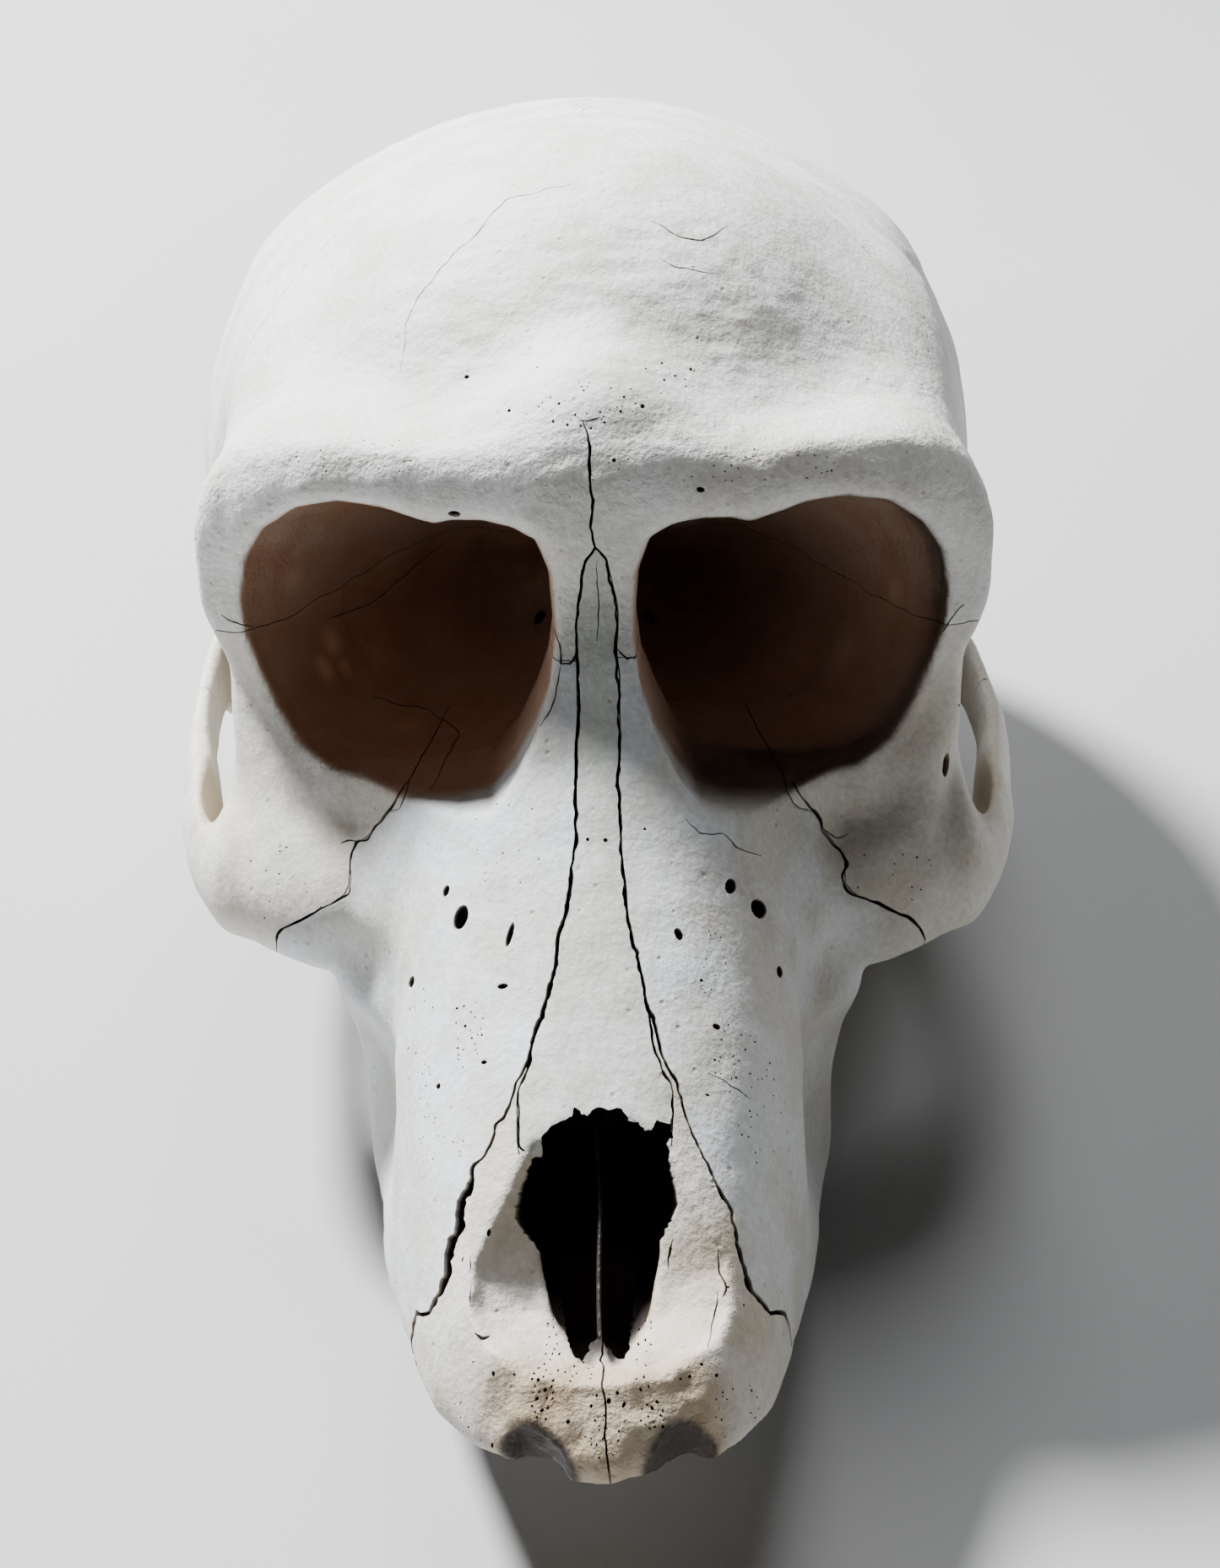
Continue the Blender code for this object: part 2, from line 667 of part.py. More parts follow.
def finishBone(bone, material, parent):
    bone.data.materials.clear()
    bone.data.materials.append(material)
    bone.data.shade_smooth()
    bone.data.set_sharp_from_angle(angle=math.radians(40))
    bone.parent = parent


def partBones(whole, materials, parent, collection):
    points = np.array([vertex.co for vertex in whole.data.vertices])
    shells = looseShells(whole.data)
    for name, middle, colour in bones:
        wanted = np.array(middle) * mm
        shell = min(shells, key=lambda shell: np.linalg.norm(points[shell].mean(axis=0) - wanted))
        mesh = whole.data.copy()
        mesh.name = name
        removeFaces(mesh, shell)
        mesh.transform(Matrix.Translation(-Vector(middle) * mm))
        bone = newObject(name, mesh, collection)
        bone.location = Vector(middle) * mm
        finishBone(bone, materials[colour], parent)


# Vomer: a thin upright plate in the nose chamber, clear of its floor and roof

vomerOutline = [
    (-9.5, -21.5), (-9.5, -1.5), (-20.6, -9.6), (-31, -18.8), (-40, -25.4), (-39, -26.0), (-30, -25),
    (-20, -24),
]
vomerThickness = 0.9


def addVomer(material, parent, collection):
    mesh = bpy.data.meshes.new("vomer")
    mesh.from_pydata([(0, y * mm, z * mm) for y, z in vomerOutline], [], [range(len(vomerOutline))])
    vomer = newObject("vomer", mesh, collection)
    solid = vomer.modifiers.new("thickness", "SOLIDIFY")
    solid.thickness = vomerThickness * mm
    solid.offset = 0
    applyModifiers(vomer)
    finishBone(vomer, material, parent)


def standOnFloor(parent, points, tilt, floor):
    turned = points[:, 1] * math.cos(tilt) + points[:, 2] * math.sin(tilt)
    parent.rotation_euler = (-tilt, 0, 0)
    parent.location = (0, -(turned.min() + turned.max()) / 2, -floor * mm)


def makeCollection(name):
    collection = bpy.data.collections.new(name)
    bpy.context.scene.collection.children.link(collection)
    return collection


def main():
    for thing in list(bpy.data.objects):
        bpy.data.objects.remove(thing)
    skull = makeCollection("baboon_skull")
    cutters = makeCollection("cutters")
    teeth = makeCollection("teeth")
    materials = {name: makeMaterial(name) for name in boneColours}

    whole = meshField("whole", skull)
    simplify(whole)
    addTeeth(teeth)
    fuse(whole, teeth)
    for block in list(teeth.objects):
        bpy.data.objects.remove(block)
    bpy.data.collections.remove(teeth)
    tilt, floor = flattenRests(whole, cutters)
    points = np.array([vertex.co for vertex in whole.data.vertices])
    addSutures(cutters)
    for suture in [thing for thing in cutters.objects if thing.name.startswith("suture")]:
        cut = whole.modifiers.new(suture.name, "BOOLEAN")
        cut.operation = "DIFFERENCE"
        cut.object = suture
    applyModifiers(whole)

    cranium = newObject("cranium", None, skull)
    standOnFloor(cranium, points, tilt, floor)
    partBones(whole, materials, cranium, skull)
    addVomer(materials["nasal"], cranium, skull)
    bpy.data.objects.remove(whole)


main()
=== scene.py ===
import math
from concurrent.futures import ThreadPoolExecutor

import bmesh
import bpy
import numpy as np
import openvdb
from mathutils import Matrix, Vector
from mathutils.bvhtree import BVHTree


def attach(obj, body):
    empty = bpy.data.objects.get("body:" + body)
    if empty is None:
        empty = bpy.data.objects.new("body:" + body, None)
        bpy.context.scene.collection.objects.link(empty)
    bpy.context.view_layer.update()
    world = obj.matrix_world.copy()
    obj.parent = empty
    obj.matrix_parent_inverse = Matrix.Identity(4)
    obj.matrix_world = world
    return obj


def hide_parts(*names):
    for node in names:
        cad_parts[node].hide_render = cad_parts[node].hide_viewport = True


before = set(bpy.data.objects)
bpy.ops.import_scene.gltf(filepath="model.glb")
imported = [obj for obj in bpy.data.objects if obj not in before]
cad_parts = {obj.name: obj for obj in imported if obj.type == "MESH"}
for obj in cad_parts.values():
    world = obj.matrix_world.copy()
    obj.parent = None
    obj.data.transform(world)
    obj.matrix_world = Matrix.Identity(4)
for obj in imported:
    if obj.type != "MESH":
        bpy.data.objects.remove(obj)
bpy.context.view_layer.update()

# Everything is shaped in millimetres in the skull's own frame: X to its left side, Y towards its
# back, Z up, origin midway between the lower rims of the orbits. It lies on the floor tilted back.

mm = 0.001
restTilt = math.radians(15.075016)
restOrigin = Vector((0.0, -24.6899, 36.5303))
toFloor = Matrix.Translation(restOrigin) @ Matrix.Rotation(-restTilt, 4, "X")
meshStep = 0.42


# Small tools for fields and numbers

def smoothMin(a, b, blend):
    near = np.maximum(blend - np.abs(a - b), 0.0) / blend
    return np.minimum(a, b) - near * near * blend * 0.25


def smoothMax(a, b, blend):
    return -smoothMin(-a, -b, blend)


def fade(value, low, high):   # 0 below low, 1 above high, smooth between
    t = np.clip((value - low) / (high - low), 0, 1)
    return t * t * (3 - 2 * t)


def ellipsoid(p, middle, radii):
    q = [(p[i] - middle[i]) / radii[i] for i in range(3)]
    reach = np.sqrt(q[0] ** 2 + q[1] ** 2 + q[2] ** 2) + 1e-6
    slope = np.sqrt(sum((q[i] / radii[i]) ** 2 for i in range(3))) + 1e-9
    return reach * (reach - 1.0) / slope


def curvePoints(points, steps):
    rows = np.array(points, float)
    rows = np.vstack([2 * rows[0] - rows[1], rows, 2 * rows[-1] - rows[-2]])
    found = []
    for a, b, c, d in zip(rows, rows[1:], rows[2:], rows[3:]):
        for t in np.arange(steps) / steps:
            bend = (2 * a - 5 * b + 4 * c - d) * t + (3 * b - a - 3 * c + d) * t * t
            found.append(b + 0.5 * t * (c - a + bend))
    found.append(rows[-2])
    return np.array(found)


def bar(p, points, squeeze=(1, 1, 1)):   # round bar through (x, y, z, radius); squeeze flattens it
    rows = curvePoints(points, 3)
    rows[:, :3] *= squeeze
    q = [p[i] * squeeze[i] for i in range(3)]
    nearest = None
    for a, b in zip(rows, rows[1:]):
        run = b[:3] - a[:3]
        off = [q[i] - a[i] for i in range(3)]
        along = np.clip(sum(off[i] * run[i] for i in range(3)) / (run @ run), 0, 1)
        away = np.sqrt(sum((off[i] - along * run[i]) ** 2 for i in range(3)))
        away = away - a[3] - (b[3] - a[3]) * along
        nearest = away if nearest is None else np.minimum(nearest, away)
    return nearest / max(squeeze)


def outline(u, v, corners):   # signed distance to a closed outline, negative inside
    corners = np.array(corners, float)
    best = np.full(np.broadcast(u, v).shape, 1e9)
    side = np.ones(best.shape)
    for a, b in zip(corners, np.roll(corners, 1, axis=0)):
        ex, ey = b - a
        wx, wy = u - a[0], v - a[1]
        along = np.clip((wx * ex + wy * ey) / (ex * ex + ey * ey), 0, 1)
        best = np.minimum(best, (wx - ex * along) ** 2 + (wy - ey * along) ** 2)
        above = v >= a[1]
        below = v < b[1]
        left = ex * wy > ey * wx
        side = np.where((above & below & left) | (~above & ~below & ~left), -side, side)
    return side * np.sqrt(best)


def mirrored(half):
    return half + [(-u, v) for u, v in half[::-1] if u > 0]


def unit(rows, least=0.0):   # rows of length 1; least keeps an empty row from being divided by 0
    return rows / (np.linalg.norm(rows, axis=-1)[..., None] + least)


def lengthsAlong(rows):
    return np.concatenate([[0], np.cumsum(np.linalg.norm(np.diff(np.array(rows, float), axis=0), axis=1))])


def endShare(count, reach):   # 1 along a row, less over its first and last few
    return fade(np.minimum(np.arange(count), np.arange(count)[::-1]), -1, reach)


noiseCells = 32


def softNoise(points, cell, seed):   # smooth noise from -1 to 1; cell is its size, one or three numbers
    table = np.random.default_rng(seed).uniform(-1, 1, (noiseCells,) * 3)
    q = np.asarray(points) / np.asarray(cell)
    base = np.floor(q).astype(int)
    t = q - base
    t = t * t * (3 - 2 * t)
    total = np.zeros(len(q))
    for corner in np.ndindex(2, 2, 2):
        weight = np.prod(np.where(np.array(corner) == 1, t, 1 - t), axis=1)
        i, j, k = ((base + corner) % noiseCells).T
        total += weight * table[i, j, k]
    return total


# Braincase

braincaseShape = {
    "middle": (0.0, 55.0, 18.0),
    "halfSizes": (36.8, 45.0, 32.6),
    "swellings": (   # middle, half sizes, blend
        ((0, 23, 18), (27.6, 26.5, 30.2), 14),
        ((0, 68, 9), (33.5, 31, 26), 10),
        ((0, 48, -2), (26, 36, 18), 8),
    ),
    "underside": -15.5,
    "neckPlane": (95, 6, 0.79, 0.61),   # a place on the plane of the neck muscles, and its slope
    "orbitHollow": ((45, 21, 2), (20, 17, 27)),   # the hollow behind the orbit
    "orbitCone": ((0, 22, 3), (17, 20, 17)),
    "shoulder": (28.6, 38.8, 9, 1.15),   # across, up, reach, how much fuller
    "crown": 0.35,
    "nuchalCrest": [
        (0, 94.6, 9, 0.9), (14, 91.5, 10, 0.9), (25, 83.5, 7, 0.9), (31.2, 72, 2, 0.9), (32, 63, -4, 1.2),
    ],
}


def braincase(p):
    shape = braincaseShape
    x, y, z = p
    d = ellipsoid(p, shape["middle"], shape["halfSizes"])
    for middle, radii, blend in shape["swellings"]:
        d = smoothMin(d, ellipsoid(p, middle, radii), blend)
    d = smoothMax(d, shape["underside"] - z, 8)
    back, height, steep, rising = shape["neckPlane"]
    d = smoothMax(d, steep * (y - back) - rising * (z - height), 10)
    d = smoothMax(d, -ellipsoid(p, *shape["orbitHollow"]), 9)
    d = smoothMin(d, ellipsoid(p, *shape["orbitCone"]), 6)
    across, up, reach, fuller = shape["shoulder"]
    swell = np.exp(-((x - across) / reach) ** 2 - ((z - up) / reach) ** 2) * fade(y, 15, 42)
    d = d - fuller * swell - shape["crown"] * fade(z, 40, 50)
    return smoothMin(d, bar(p, shape["nuchalCrest"]), 9)


# Orbits

orbitShape = {
    "middle": (15.6, 4.0, 12.2),
    "apex": (5.8, 37.0, 8.2),
    "outline": [
        (3.3, 14.9), (3.6, 19.4), (4.6, 22.0), (6.2, 22.9), (8.4, 23.3), (10.4, 23.2), (11.9, 22.8),
        (13.6, 23.3), (16.0, 24.1), (19.2, 24.4), (22.4, 23.7), (25.2, 21.8), (27.0, 19.2), (27.8, 15.6),
        (27.8, 12.4), (27.0, 9.6), (25.6, 6.6), (23.5, 3.9), (20.7, 2.3), (17.2, 2.0), (13.6, 2.2),
        (10.4, 2.5), (8.1, 3.2), (6.2, 5.6), (4.7, 8.6), (3.7, 11.4),
    ],
    "taper": ((-0.4, 0, 0.08, 0.25, 0.45, 0.7, 0.9, 1.02), (1.03, 1, 1.01, 0.95, 0.8, 0.55, 0.28, 0.05)),
    "wall": 0.9,
    "rimPlane": ((0, 4, 10, 16, 22, 26, 28.5), (-2.8, -2.6, -1.7, -0.4, 1.8, 5.0, 7.4)),
    "bridge": [(0, -0.2, 30, 4), (0, -1.4, 23, 3.2), (0, -2.4, 16, 2.4)],
    "brow": [
        (0, -2.8, 25.6, 2.2), (6, -3.0, 25.7, 2.0), (13, -2.0, 25.6, 1.8), (19.5, 0.0, 25.2, 1.6),
        (24.0, 3.2, 23.6, 1.6), (26.9, 6.6, 20.3, 1.6), (27.8, 8.4, 15.6, 1.7),
    ],
    "temple": [(23.2, 7, 23.6, 2.2), (23.8, 12.5, 25.4, 2.6), (24.0, 20, 27.6, 3.0), (23.8, 30, 29.6, 3.0)],
    "lowerRim": [
        (27.6, 8.2, 18, 1.7), (28.0, 9.2, 12, 1.7), (27.5, 8.4, 6.2, 2.0), (26.0, 5.6, 0.4, 2.2),
        (23.2, 3, -4, 2.8), (18, 0.4, -5.8, 2.8), (12.6, -1.6, -4.4, 2.4), (8.2, -3.2, -0.6, 1.6),
        (4.6, -4.2, 4.6, 0.9), (2.6, -4.4, 12, 0.8),
    ],
    "floorEdge": [
        (27.0, 9.0, 5.0, 1.7), (24.0, 5.8, 0.9, 2.5), (19.0, 3.2, -1.2, 2.9), (13.4, 1.2, -1.0, 2.6),
        (9, -1, 0.9, 1.7),
    ],
    "blends": {"bridge": 6, "brow": 11, "temple": 12, "lowerRim": 3.4, "floorEdge": 2.5},
}


def orbitCavity(p):
    x, y, z = p
    middle, apex = orbitShape["middle"], orbitShape["apex"]
    depth = (y - middle[1]) / (apex[1] - middle[1])
    along = np.clip(depth, 0, 1)
    middleX = middle[0] + (apex[0] - middle[0]) * along
    middleZ = middle[2] + (apex[2] - middle[2]) * along
    scale = np.interp(depth, *orbitShape["taper"])
    u = (x - middleX) / scale + middle[0]
    v = (z - middleZ) / scale + middle[2]
    d = outline(u, v, orbitShape["outline"]) * scale
    return smoothMax(d, y - apex[1] - 1, 4) * 0.9


def orbitRims(p, cavity, d):
    rimPlane = np.interp(p[0], *orbitShape["rimPlane"]) - p[1]
    d = smoothMin(d, smoothMax(cavity - orbitShape["wall"], rimPlane * 0.9, 1.2), 3)
    for name, blend in orbitShape["blends"].items():
        d = smoothMin(d, bar(p, orbitShape[name]), blend)
    return d


# Cheek bones, arches and the underside of the skull

cheekShape = {
    "body": [
        (17, -1.4, -10.4, 4.2), (22, 0.8, -10.2, 4.3), (26.4, 4, -9.2, 4.4), (29.4, 8.2, -8, 4.2),
        (31.4, 13, -6.8, 3.4),
    ],
    "pillar": [(27.2, 9, 6, 1), (27.8, 10, 0, 1.8), (28.6, 10, -5, 2.6)],
    "arch": [
        (30.4, 8.4, -8, 5), (33.6, 15.5, -6.2, 4.5), (35.2, 24, -4.2, 3.7), (35.5, 32, -2.2, 3.3),
        (35, 40, -0.2, 3.5), (33.1, 48, 1.6, 4), (31.6, 58, 2.6, 3.4),
    ],
    "hollow": ((20.6, -13, -12), (5.2, 9.2, 6.8)),
    "archFlatness": (3.0, 1, 1),
    "slot": [(31.2, 8.6, 6, 4.5), (31.6, 10.4, 0, 4.8), (32.1, 13.4, -3.4, 4.6)],   # between arch and orbit
    "slotFlatness": (4.6, 1, 1),
}


def cheeks(p, d):
    d = smoothMin(d, bar(p, cheekShape["body"]), 6)
    d = smoothMin(d, bar(p, cheekShape["pillar"]), 4)
    d = smoothMin(d, bar(p, cheekShape["arch"], cheekShape["archFlatness"]), 2.5)
    return smoothMax(d, -bar(p, cheekShape["slot"], cheekShape["slotFlatness"]), 1.2)


baseShape = {
    "jawSocket": ((25, 46, -3.4), (8.5, 7, 3.4)),
    "mastoid": ((28.5, 66, -6), (5.5, 8, 9)),
    "bars": (   # the ear tube, the bulla before it and the joint with the neck
        [(22, 55.5, -8, 4.2), (30.5, 57, -3.4, 3.9)],
        [(12, 40, -14, 2.4), (15.5, 46, -14.2, 4.2), (19.5, 53, -12.5, 4.4)],
        [(7.2, 57, -18.2, 2.2), (8.6, 62, -18.6, 3), (9.8, 67, -17, 2.6)],
    ),
    "middle": [(0, 58, -14.5, 3.2), (0, 40, -12.5, 3.4), (0, 26, -10.5, 4)],
    "middleFlatness": (0.6, 1, 1),
    "outerWing": [(11.4, 13, -26, 4), (13.2, 17, -19, 4.6), (14.6, 22, -11, 5.4)],
    "innerWing": [(8.6, 13, -26, 3.2), (7.8, 16.5, -19, 3.6), (7.2, 21, -11, 4.4)],
    "wingFlatness": (3, 0.9, 1),
}


def skullBase(p, d):
    d = smoothMin(d, ellipsoid(p, *baseShape["jawSocket"]), 5)
    d = smoothMin(d, ellipsoid(p, *baseShape["mastoid"]), 6)
    for points in baseShape["bars"]:
        d = smoothMin(d, bar(p, points), 3)
    return smoothMin(d, bar(p, baseShape["middle"], baseShape["middleFlatness"]), 5)


def pterygoids(p, d):
    outer, inner = [bar(p, baseShape[name], baseShape["wingFlatness"]) for name in ("outerWing", "innerWing")]
    return smoothMin(d, smoothMin(outer, inner, 1.5), 2)


# Muzzle

muzzleShape = {
    "slope": math.radians(43.1),
    "rhinion": (31.0, -13.6),
    "profile": [
        (-30, 24), (-8, 23.5), (0, 22.4), (3.6, 20.6), (6.2, 15.4), (8.6, 11.2), (11.8, 6.6), (16, 1.6),
        (20.6, -3.2), (25.6, -8.2), (31, -13.4), (35.5, -17.8), (40.5, -22.4), (44, -26.2), (46.6, -30),
        (47.4, -33), (46, -37.5), (42, -60), (-60, -60), (-60, 24),
    ],
    "halfWidths": (
        (-16, -10, 2, 14, 22, 29, 33, 38, 42, 45, 47.5),
        (15.5, 18.4, 18.8, 17.3, 15.8, 14.1, 13.3, 11.9, 9.6, 6.6, 2.4),
    ),
    "flare": ((-31, -29, -26, -24, -21, -18, -16, -14.5, -13), (0, 0.4, 0.9, 1.3, 2.2, 3.6, 5.8, 7.4, 8.4)),
    "margin": ((-16, -8, 10, 30, 48), (-30.5, -32.2, -33.4, -33.4, -32.8)),
    "palateBottom": -37.0,
    "palateHalfWidths": ((-20, -10, 2, 14, 22, 30, 36, 40), (11, 11.4, 11.6, 11.2, 10.2, 8, 5, 1.5)),
    "plateOutline": [
        (4.6, 1.2), (6.2, 4.4), (7.6, 7.2), (8.8, 9.4), (8.9, 12.7), (7.9, 15), (4.6, 17.4), (0, 18.4),
    ],
    "plate": (0.7, 0.72, 4.2),   # step at its edge, slope, how wide the slope is
    "round": (0.024, 0.00007),   # how the top falls away to the sides
    "sideLean": 0.07,
    "rear": (-13.5, 0.25, 20),
    "cheekHollow": ((24.5, -12, -22), (9, 14, 12)),
}


def alongSnout(forward, z):   # distance down the slope from the tip of the nasal bones, and height over it
    cosine, sine = math.cos(muzzleShape["slope"]), math.sin(muzzleShape["slope"])
    f, h = forward - muzzleShape["rhinion"][0], z - muzzleShape["rhinion"][1]
    return f * cosine - h * sine, f * sine + h * cosine


def palate(p):
    x, y, z = p
    halfWidth = np.interp(-y, *muzzleShape["palateHalfWidths"])
    d = np.sqrt(x * x + ((z - muzzleShape["palateBottom"]) * 1.3) ** 2) - halfWidth
    return smoothMax(d, -y - 38, 4) * 0.6


def muzzle(p):
    x, y, z = p
    forward = -y
    run = alongSnout(forward, z)[0]
    inside = -outline(x, run, mirrored(muzzleShape["plateOutline"]))
    near, far = muzzleShape["round"]
    top = outline(forward, z, muzzleShape["profile"]) + near * x * x + far * x ** 4
    step, slope, wide = muzzleShape["plate"]
    top = top + step * fade(inside, -0.1, 0.7) + slope * np.clip(inside, 0, wide) * fade(inside, 0, 1)
    halfWidth = np.interp(forward, *muzzleShape["halfWidths"])
    flare = np.interp(z, *muzzleShape["flare"]) * (1 - fade(forward, 1, 9))
    side = (x - halfWidth + muzzleShape["sideLean"] * np.clip(z + 30, 0, 30) - flare) * 0.9
    margin = np.interp(forward, *muzzleShape["margin"]) - z
    back, slant, height = muzzleShape["rear"]
    rear = back - forward + slant * (z + height)
    d = smoothMax(top, side, 4)
    hollow = -ellipsoid(p, *muzzleShape["cheekHollow"])
    for limit, blend in ((margin, 2.5), (rear, 4), (z - 14, 3), (hollow, 3)):
        d = smoothMax(d, limit, blend)
    return smoothMax(d, -palate(p), 2)


# Nose opening and the chamber behind it

noseShape = {
    "outline": [
        (0, 0.2), (2.4, 0.4), (3.6, 1.4), (3.7, 3.6), (3.1, 5.8), (2.6, 7.9), (2.2, 9.7), (1.85, 12.4),
        (1.6, 15), (1.2, 16), (0.7, 16.2), (0.3, 15.6), (0, 15.2),
    ],
    "depths": ((0, 8, 13, 17), (8, 7, 5, 3)),
    "halfWidths": ((4, 14, 24, 30, 35, 42), (3, 5, 6.6, 5.6, 3.6, 2.4)),
    "roof": ((3.6, 11.8, 20.6, 29.6, 32.5, 36, 40), (8, 1.6, -6.6, -14.4, -19.6, -22.8, -26)),
    "floor": ((-10, 10, 30, 36, 42), (-22.5, -23.5, -26.2, -27, -26.4)),
}


def noseCavity(p):
    x, y, z = p
    forward = -y
    run, rise = alongSnout(forward, z)
    depth = np.interp(run, *noseShape["depths"])
    opening = outline(x, run, mirrored(noseShape["outline"])) + 0.14 * np.minimum(rise, 2)
    opening = smoothMax(opening, -depth - rise, 2)
    halfWidth = np.interp(forward, *noseShape["halfWidths"])
    roof = np.interp(forward, *noseShape["roof"])
    floor = np.interp(forward, *noseShape["floor"])
    chamber = smoothMax(smoothMax(x - halfWidth, z - roof, 2), floor - z, 3)
    chamber = smoothMax(chamber, np.maximum(6 - forward, forward - 42.5), 3)
    return smoothMin(opening, chamber, 1.4) * 0.9


openingShapes = {
    "throat": ((0, 12, -20.5), (6.6, 15, 7.2)),   # the rear opening of the nose, and the plate that halves it
    "septum": 0.6,
    "neck": ((0, 68.5, -19), (7, 8.6, 10)),
    "ear": [(24, 56, -7, 1.6), (36, 57.8, -2, 2.5)],
    "rimBlend": (0.6, 0.8, 13, 21),   # the orbit's edge: sharp below, rounder between these two heights
}
emptySockets = (   # first incisor, second incisor, canine
    ((5.3, -47.8, -35.4), (3.2, 5.4, 7.4)),
    ((8.8, -39.4, -37.0), (1.6, 2.0, 5.0)),
    ((12.0, -29.4, -38.0), (2.1, 2.9, 6.4)),
)


def skullField(p):
    cavity = orbitCavity(p)
    d = orbitRims(p, cavity, braincase(p))
    d = cheeks(p, d)
    d = skullBase(p, d)
    d = smoothMin(d, muzzle(p), 6)
    d = pterygoids(p, d)
    sockets = [ellipsoid(p, middle, radii) for middle, radii in emptySockets]
    shape = openingShapes
    sharp, rounder, low, high = shape["rimBlend"]
    openings = (
        (ellipsoid(p, *cheekShape["hollow"]), 1.6),
        (cavity, sharp + rounder * fade(p[2], low, high)),
        (noseCavity(p), 0.8),
        (smoothMax(ellipsoid(p, *shape["throat"]), shape["septum"] - p[0], 0.8), 1.0),
        (ellipsoid(p, *shape["neck"]), 1.5),
        (bar(p, shape["ear"]), 0.8),
        (np.minimum(np.minimum(sockets[0], sockets[1]), sockets[2]), 0.35),
    )
    for opening, blend in openings:
        d = smoothMax(d, -opening, blend)
    return d


pool = ThreadPoolExecutor(4)


def fieldAt(points):   # the field at many points, either side, worked out in several threads
    points = np.asarray(points, float)
    chunks = np.array_split(points, max(1, len(points) // 40000))
    found = pool.map(lambda q: skullField((np.abs(q[:, 0]), q[:, 1], q[:, 2])), chunks)
    return np.concatenate(list(found))


def lean(points):   # the snout's tip leans a little to the picture's right, the braincase to its left
    tip = fade(-points[:, 1], 33, 46) * fade(-points[:, 2], 24, 32)
    return 0.5 * tip - 0.8 * fade(points[:, 1], 22, 48)


# The field on a fine grid: worked out only in blocks near the surface, on one half, then mirrored

gridShape = {"low": (0.0, -50.0, -42.0), "high": (41.0, 103.0, 56.0), "block": 4, "near": 8.5}


def gridAxes(step):
    block = gridShape["block"]
    axes = []
    for low, high in zip(gridShape["low"], gridShape["high"]):
        count = math.ceil((high - low) / step / block) * block
        axes.append(low + (np.arange(count) + (0.5 if low == 0 else 0)) * step)
    return axes


def sampleSkull(step):
    block = gridShape["block"]
    axes = gridAxes(step)
    middles = [axis.reshape(-1, block).mean(axis=1) for axis in axes]
    coarse = np.stack(np.meshgrid(*middles, indexing="ij"), -1).reshape(-1, 3)
    distances = fieldAt(coarse)
    counts = [len(middle) for middle in middles]
    far = 3 * step
    half = np.where(distances.reshape(counts) < 0, -far, far).astype(np.float32)
    for axis in range(3):
        half = np.repeat(half, block, axis=axis)
    close = np.flatnonzero(np.abs(distances) < gridShape["near"] * step)
    inside = np.stack(np.meshgrid(*[np.arange(block)] * 3, indexing="ij"), -1).reshape(-1, 3)
    offsets = inside - (block - 1) / 2
    fine = (coarse[close][:, None, :] + offsets[None] * step).reshape(-1, 3)
    values = np.clip(fieldAt(fine), -far, far).astype(np.float32)
    first = np.stack(np.unravel_index(close, counts), -1) * block
    index = (first[:, None, :] + inside[None]).reshape(-1, 3)
    half[tuple(index.T)] = values
    return axes, np.concatenate([half[::-1], half], axis=0)


def meshField(axes, values, step):
    volume = openvdb.FloatGrid(3 * step)
    volume.copyFromArray(values)
    points, quads = volume.convertToQuads(0.0)[:2]
    corner = np.array([-axes[0][-1], axes[1][0], axes[2][0]])
    return np.array(points, float) * step + corner, np.array(quads)[:, ::-1]


def newMesh(name, points, faces):
    mesh = bpy.data.meshes.new(name)
    mesh.from_pydata(points, [], faces)
    mesh.validate()
    return mesh


def newObject(name, mesh):
    thing = bpy.data.objects.new(name, mesh)
    bpy.context.scene.collection.objects.link(thing)
    return thing


def readRows(items, name):
    found = np.zeros(len(items) * 3, np.float32)
    items.foreach_get(name, found)
    return found.reshape(-1, 3).astype(float)


def pointsOf(mesh):
    return readRows(mesh.vertices, "co")


def normalsOf(mesh):
    return readRows(mesh.vertex_normals, "vector")


def movePoints(mesh, points):
    mesh.vertices.foreach_set("co", points.astype(np.float32).ravel())
    mesh.update()


# The photograph's camera, and places given in the photograph set on the bone

photoCamera = {
    "size": (1445, 1857), "focal": 2980.0, "distance": 200.0, "elevation": math.radians(18),
    "roll": math.radians(-0.66), "left": 1.06, "above": 0.97, "sensor": 36.0,
}


def cameraAxes():
    e, roll = photoCamera["elevation"], photoCamera["roll"]
    back = np.array([0, -math.cos(e), math.sin(e)])
    up = np.array([0, math.sin(e), math.cos(e)])
    right = np.array([1.0, 0, 0])
    place = back * photoCamera["distance"] + up * photoCamera["above"] + right * photoCamera["left"]
    turnedRight = right * math.cos(roll) + up * math.sin(roll)
    turnedUp = up * math.cos(roll) - right * math.sin(roll)
    return place, turnedRight, turnedUp, back


skin = {}   # the meshed skull, for finding where a sight line meets it


def raysThrough(pixels):
    place, right, up, back = cameraAxes()
    pixels = np.asarray(pixels, float)
    width, height = photoCamera["size"]
    u = (pixels[:, 0] - width / 2) / photoCamera["focal"]
    v = (height / 2 - pixels[:, 1]) / photoCamera["focal"]
    ways = u[:, None] * right + v[:, None] * up - back
    return place, unit(ways)


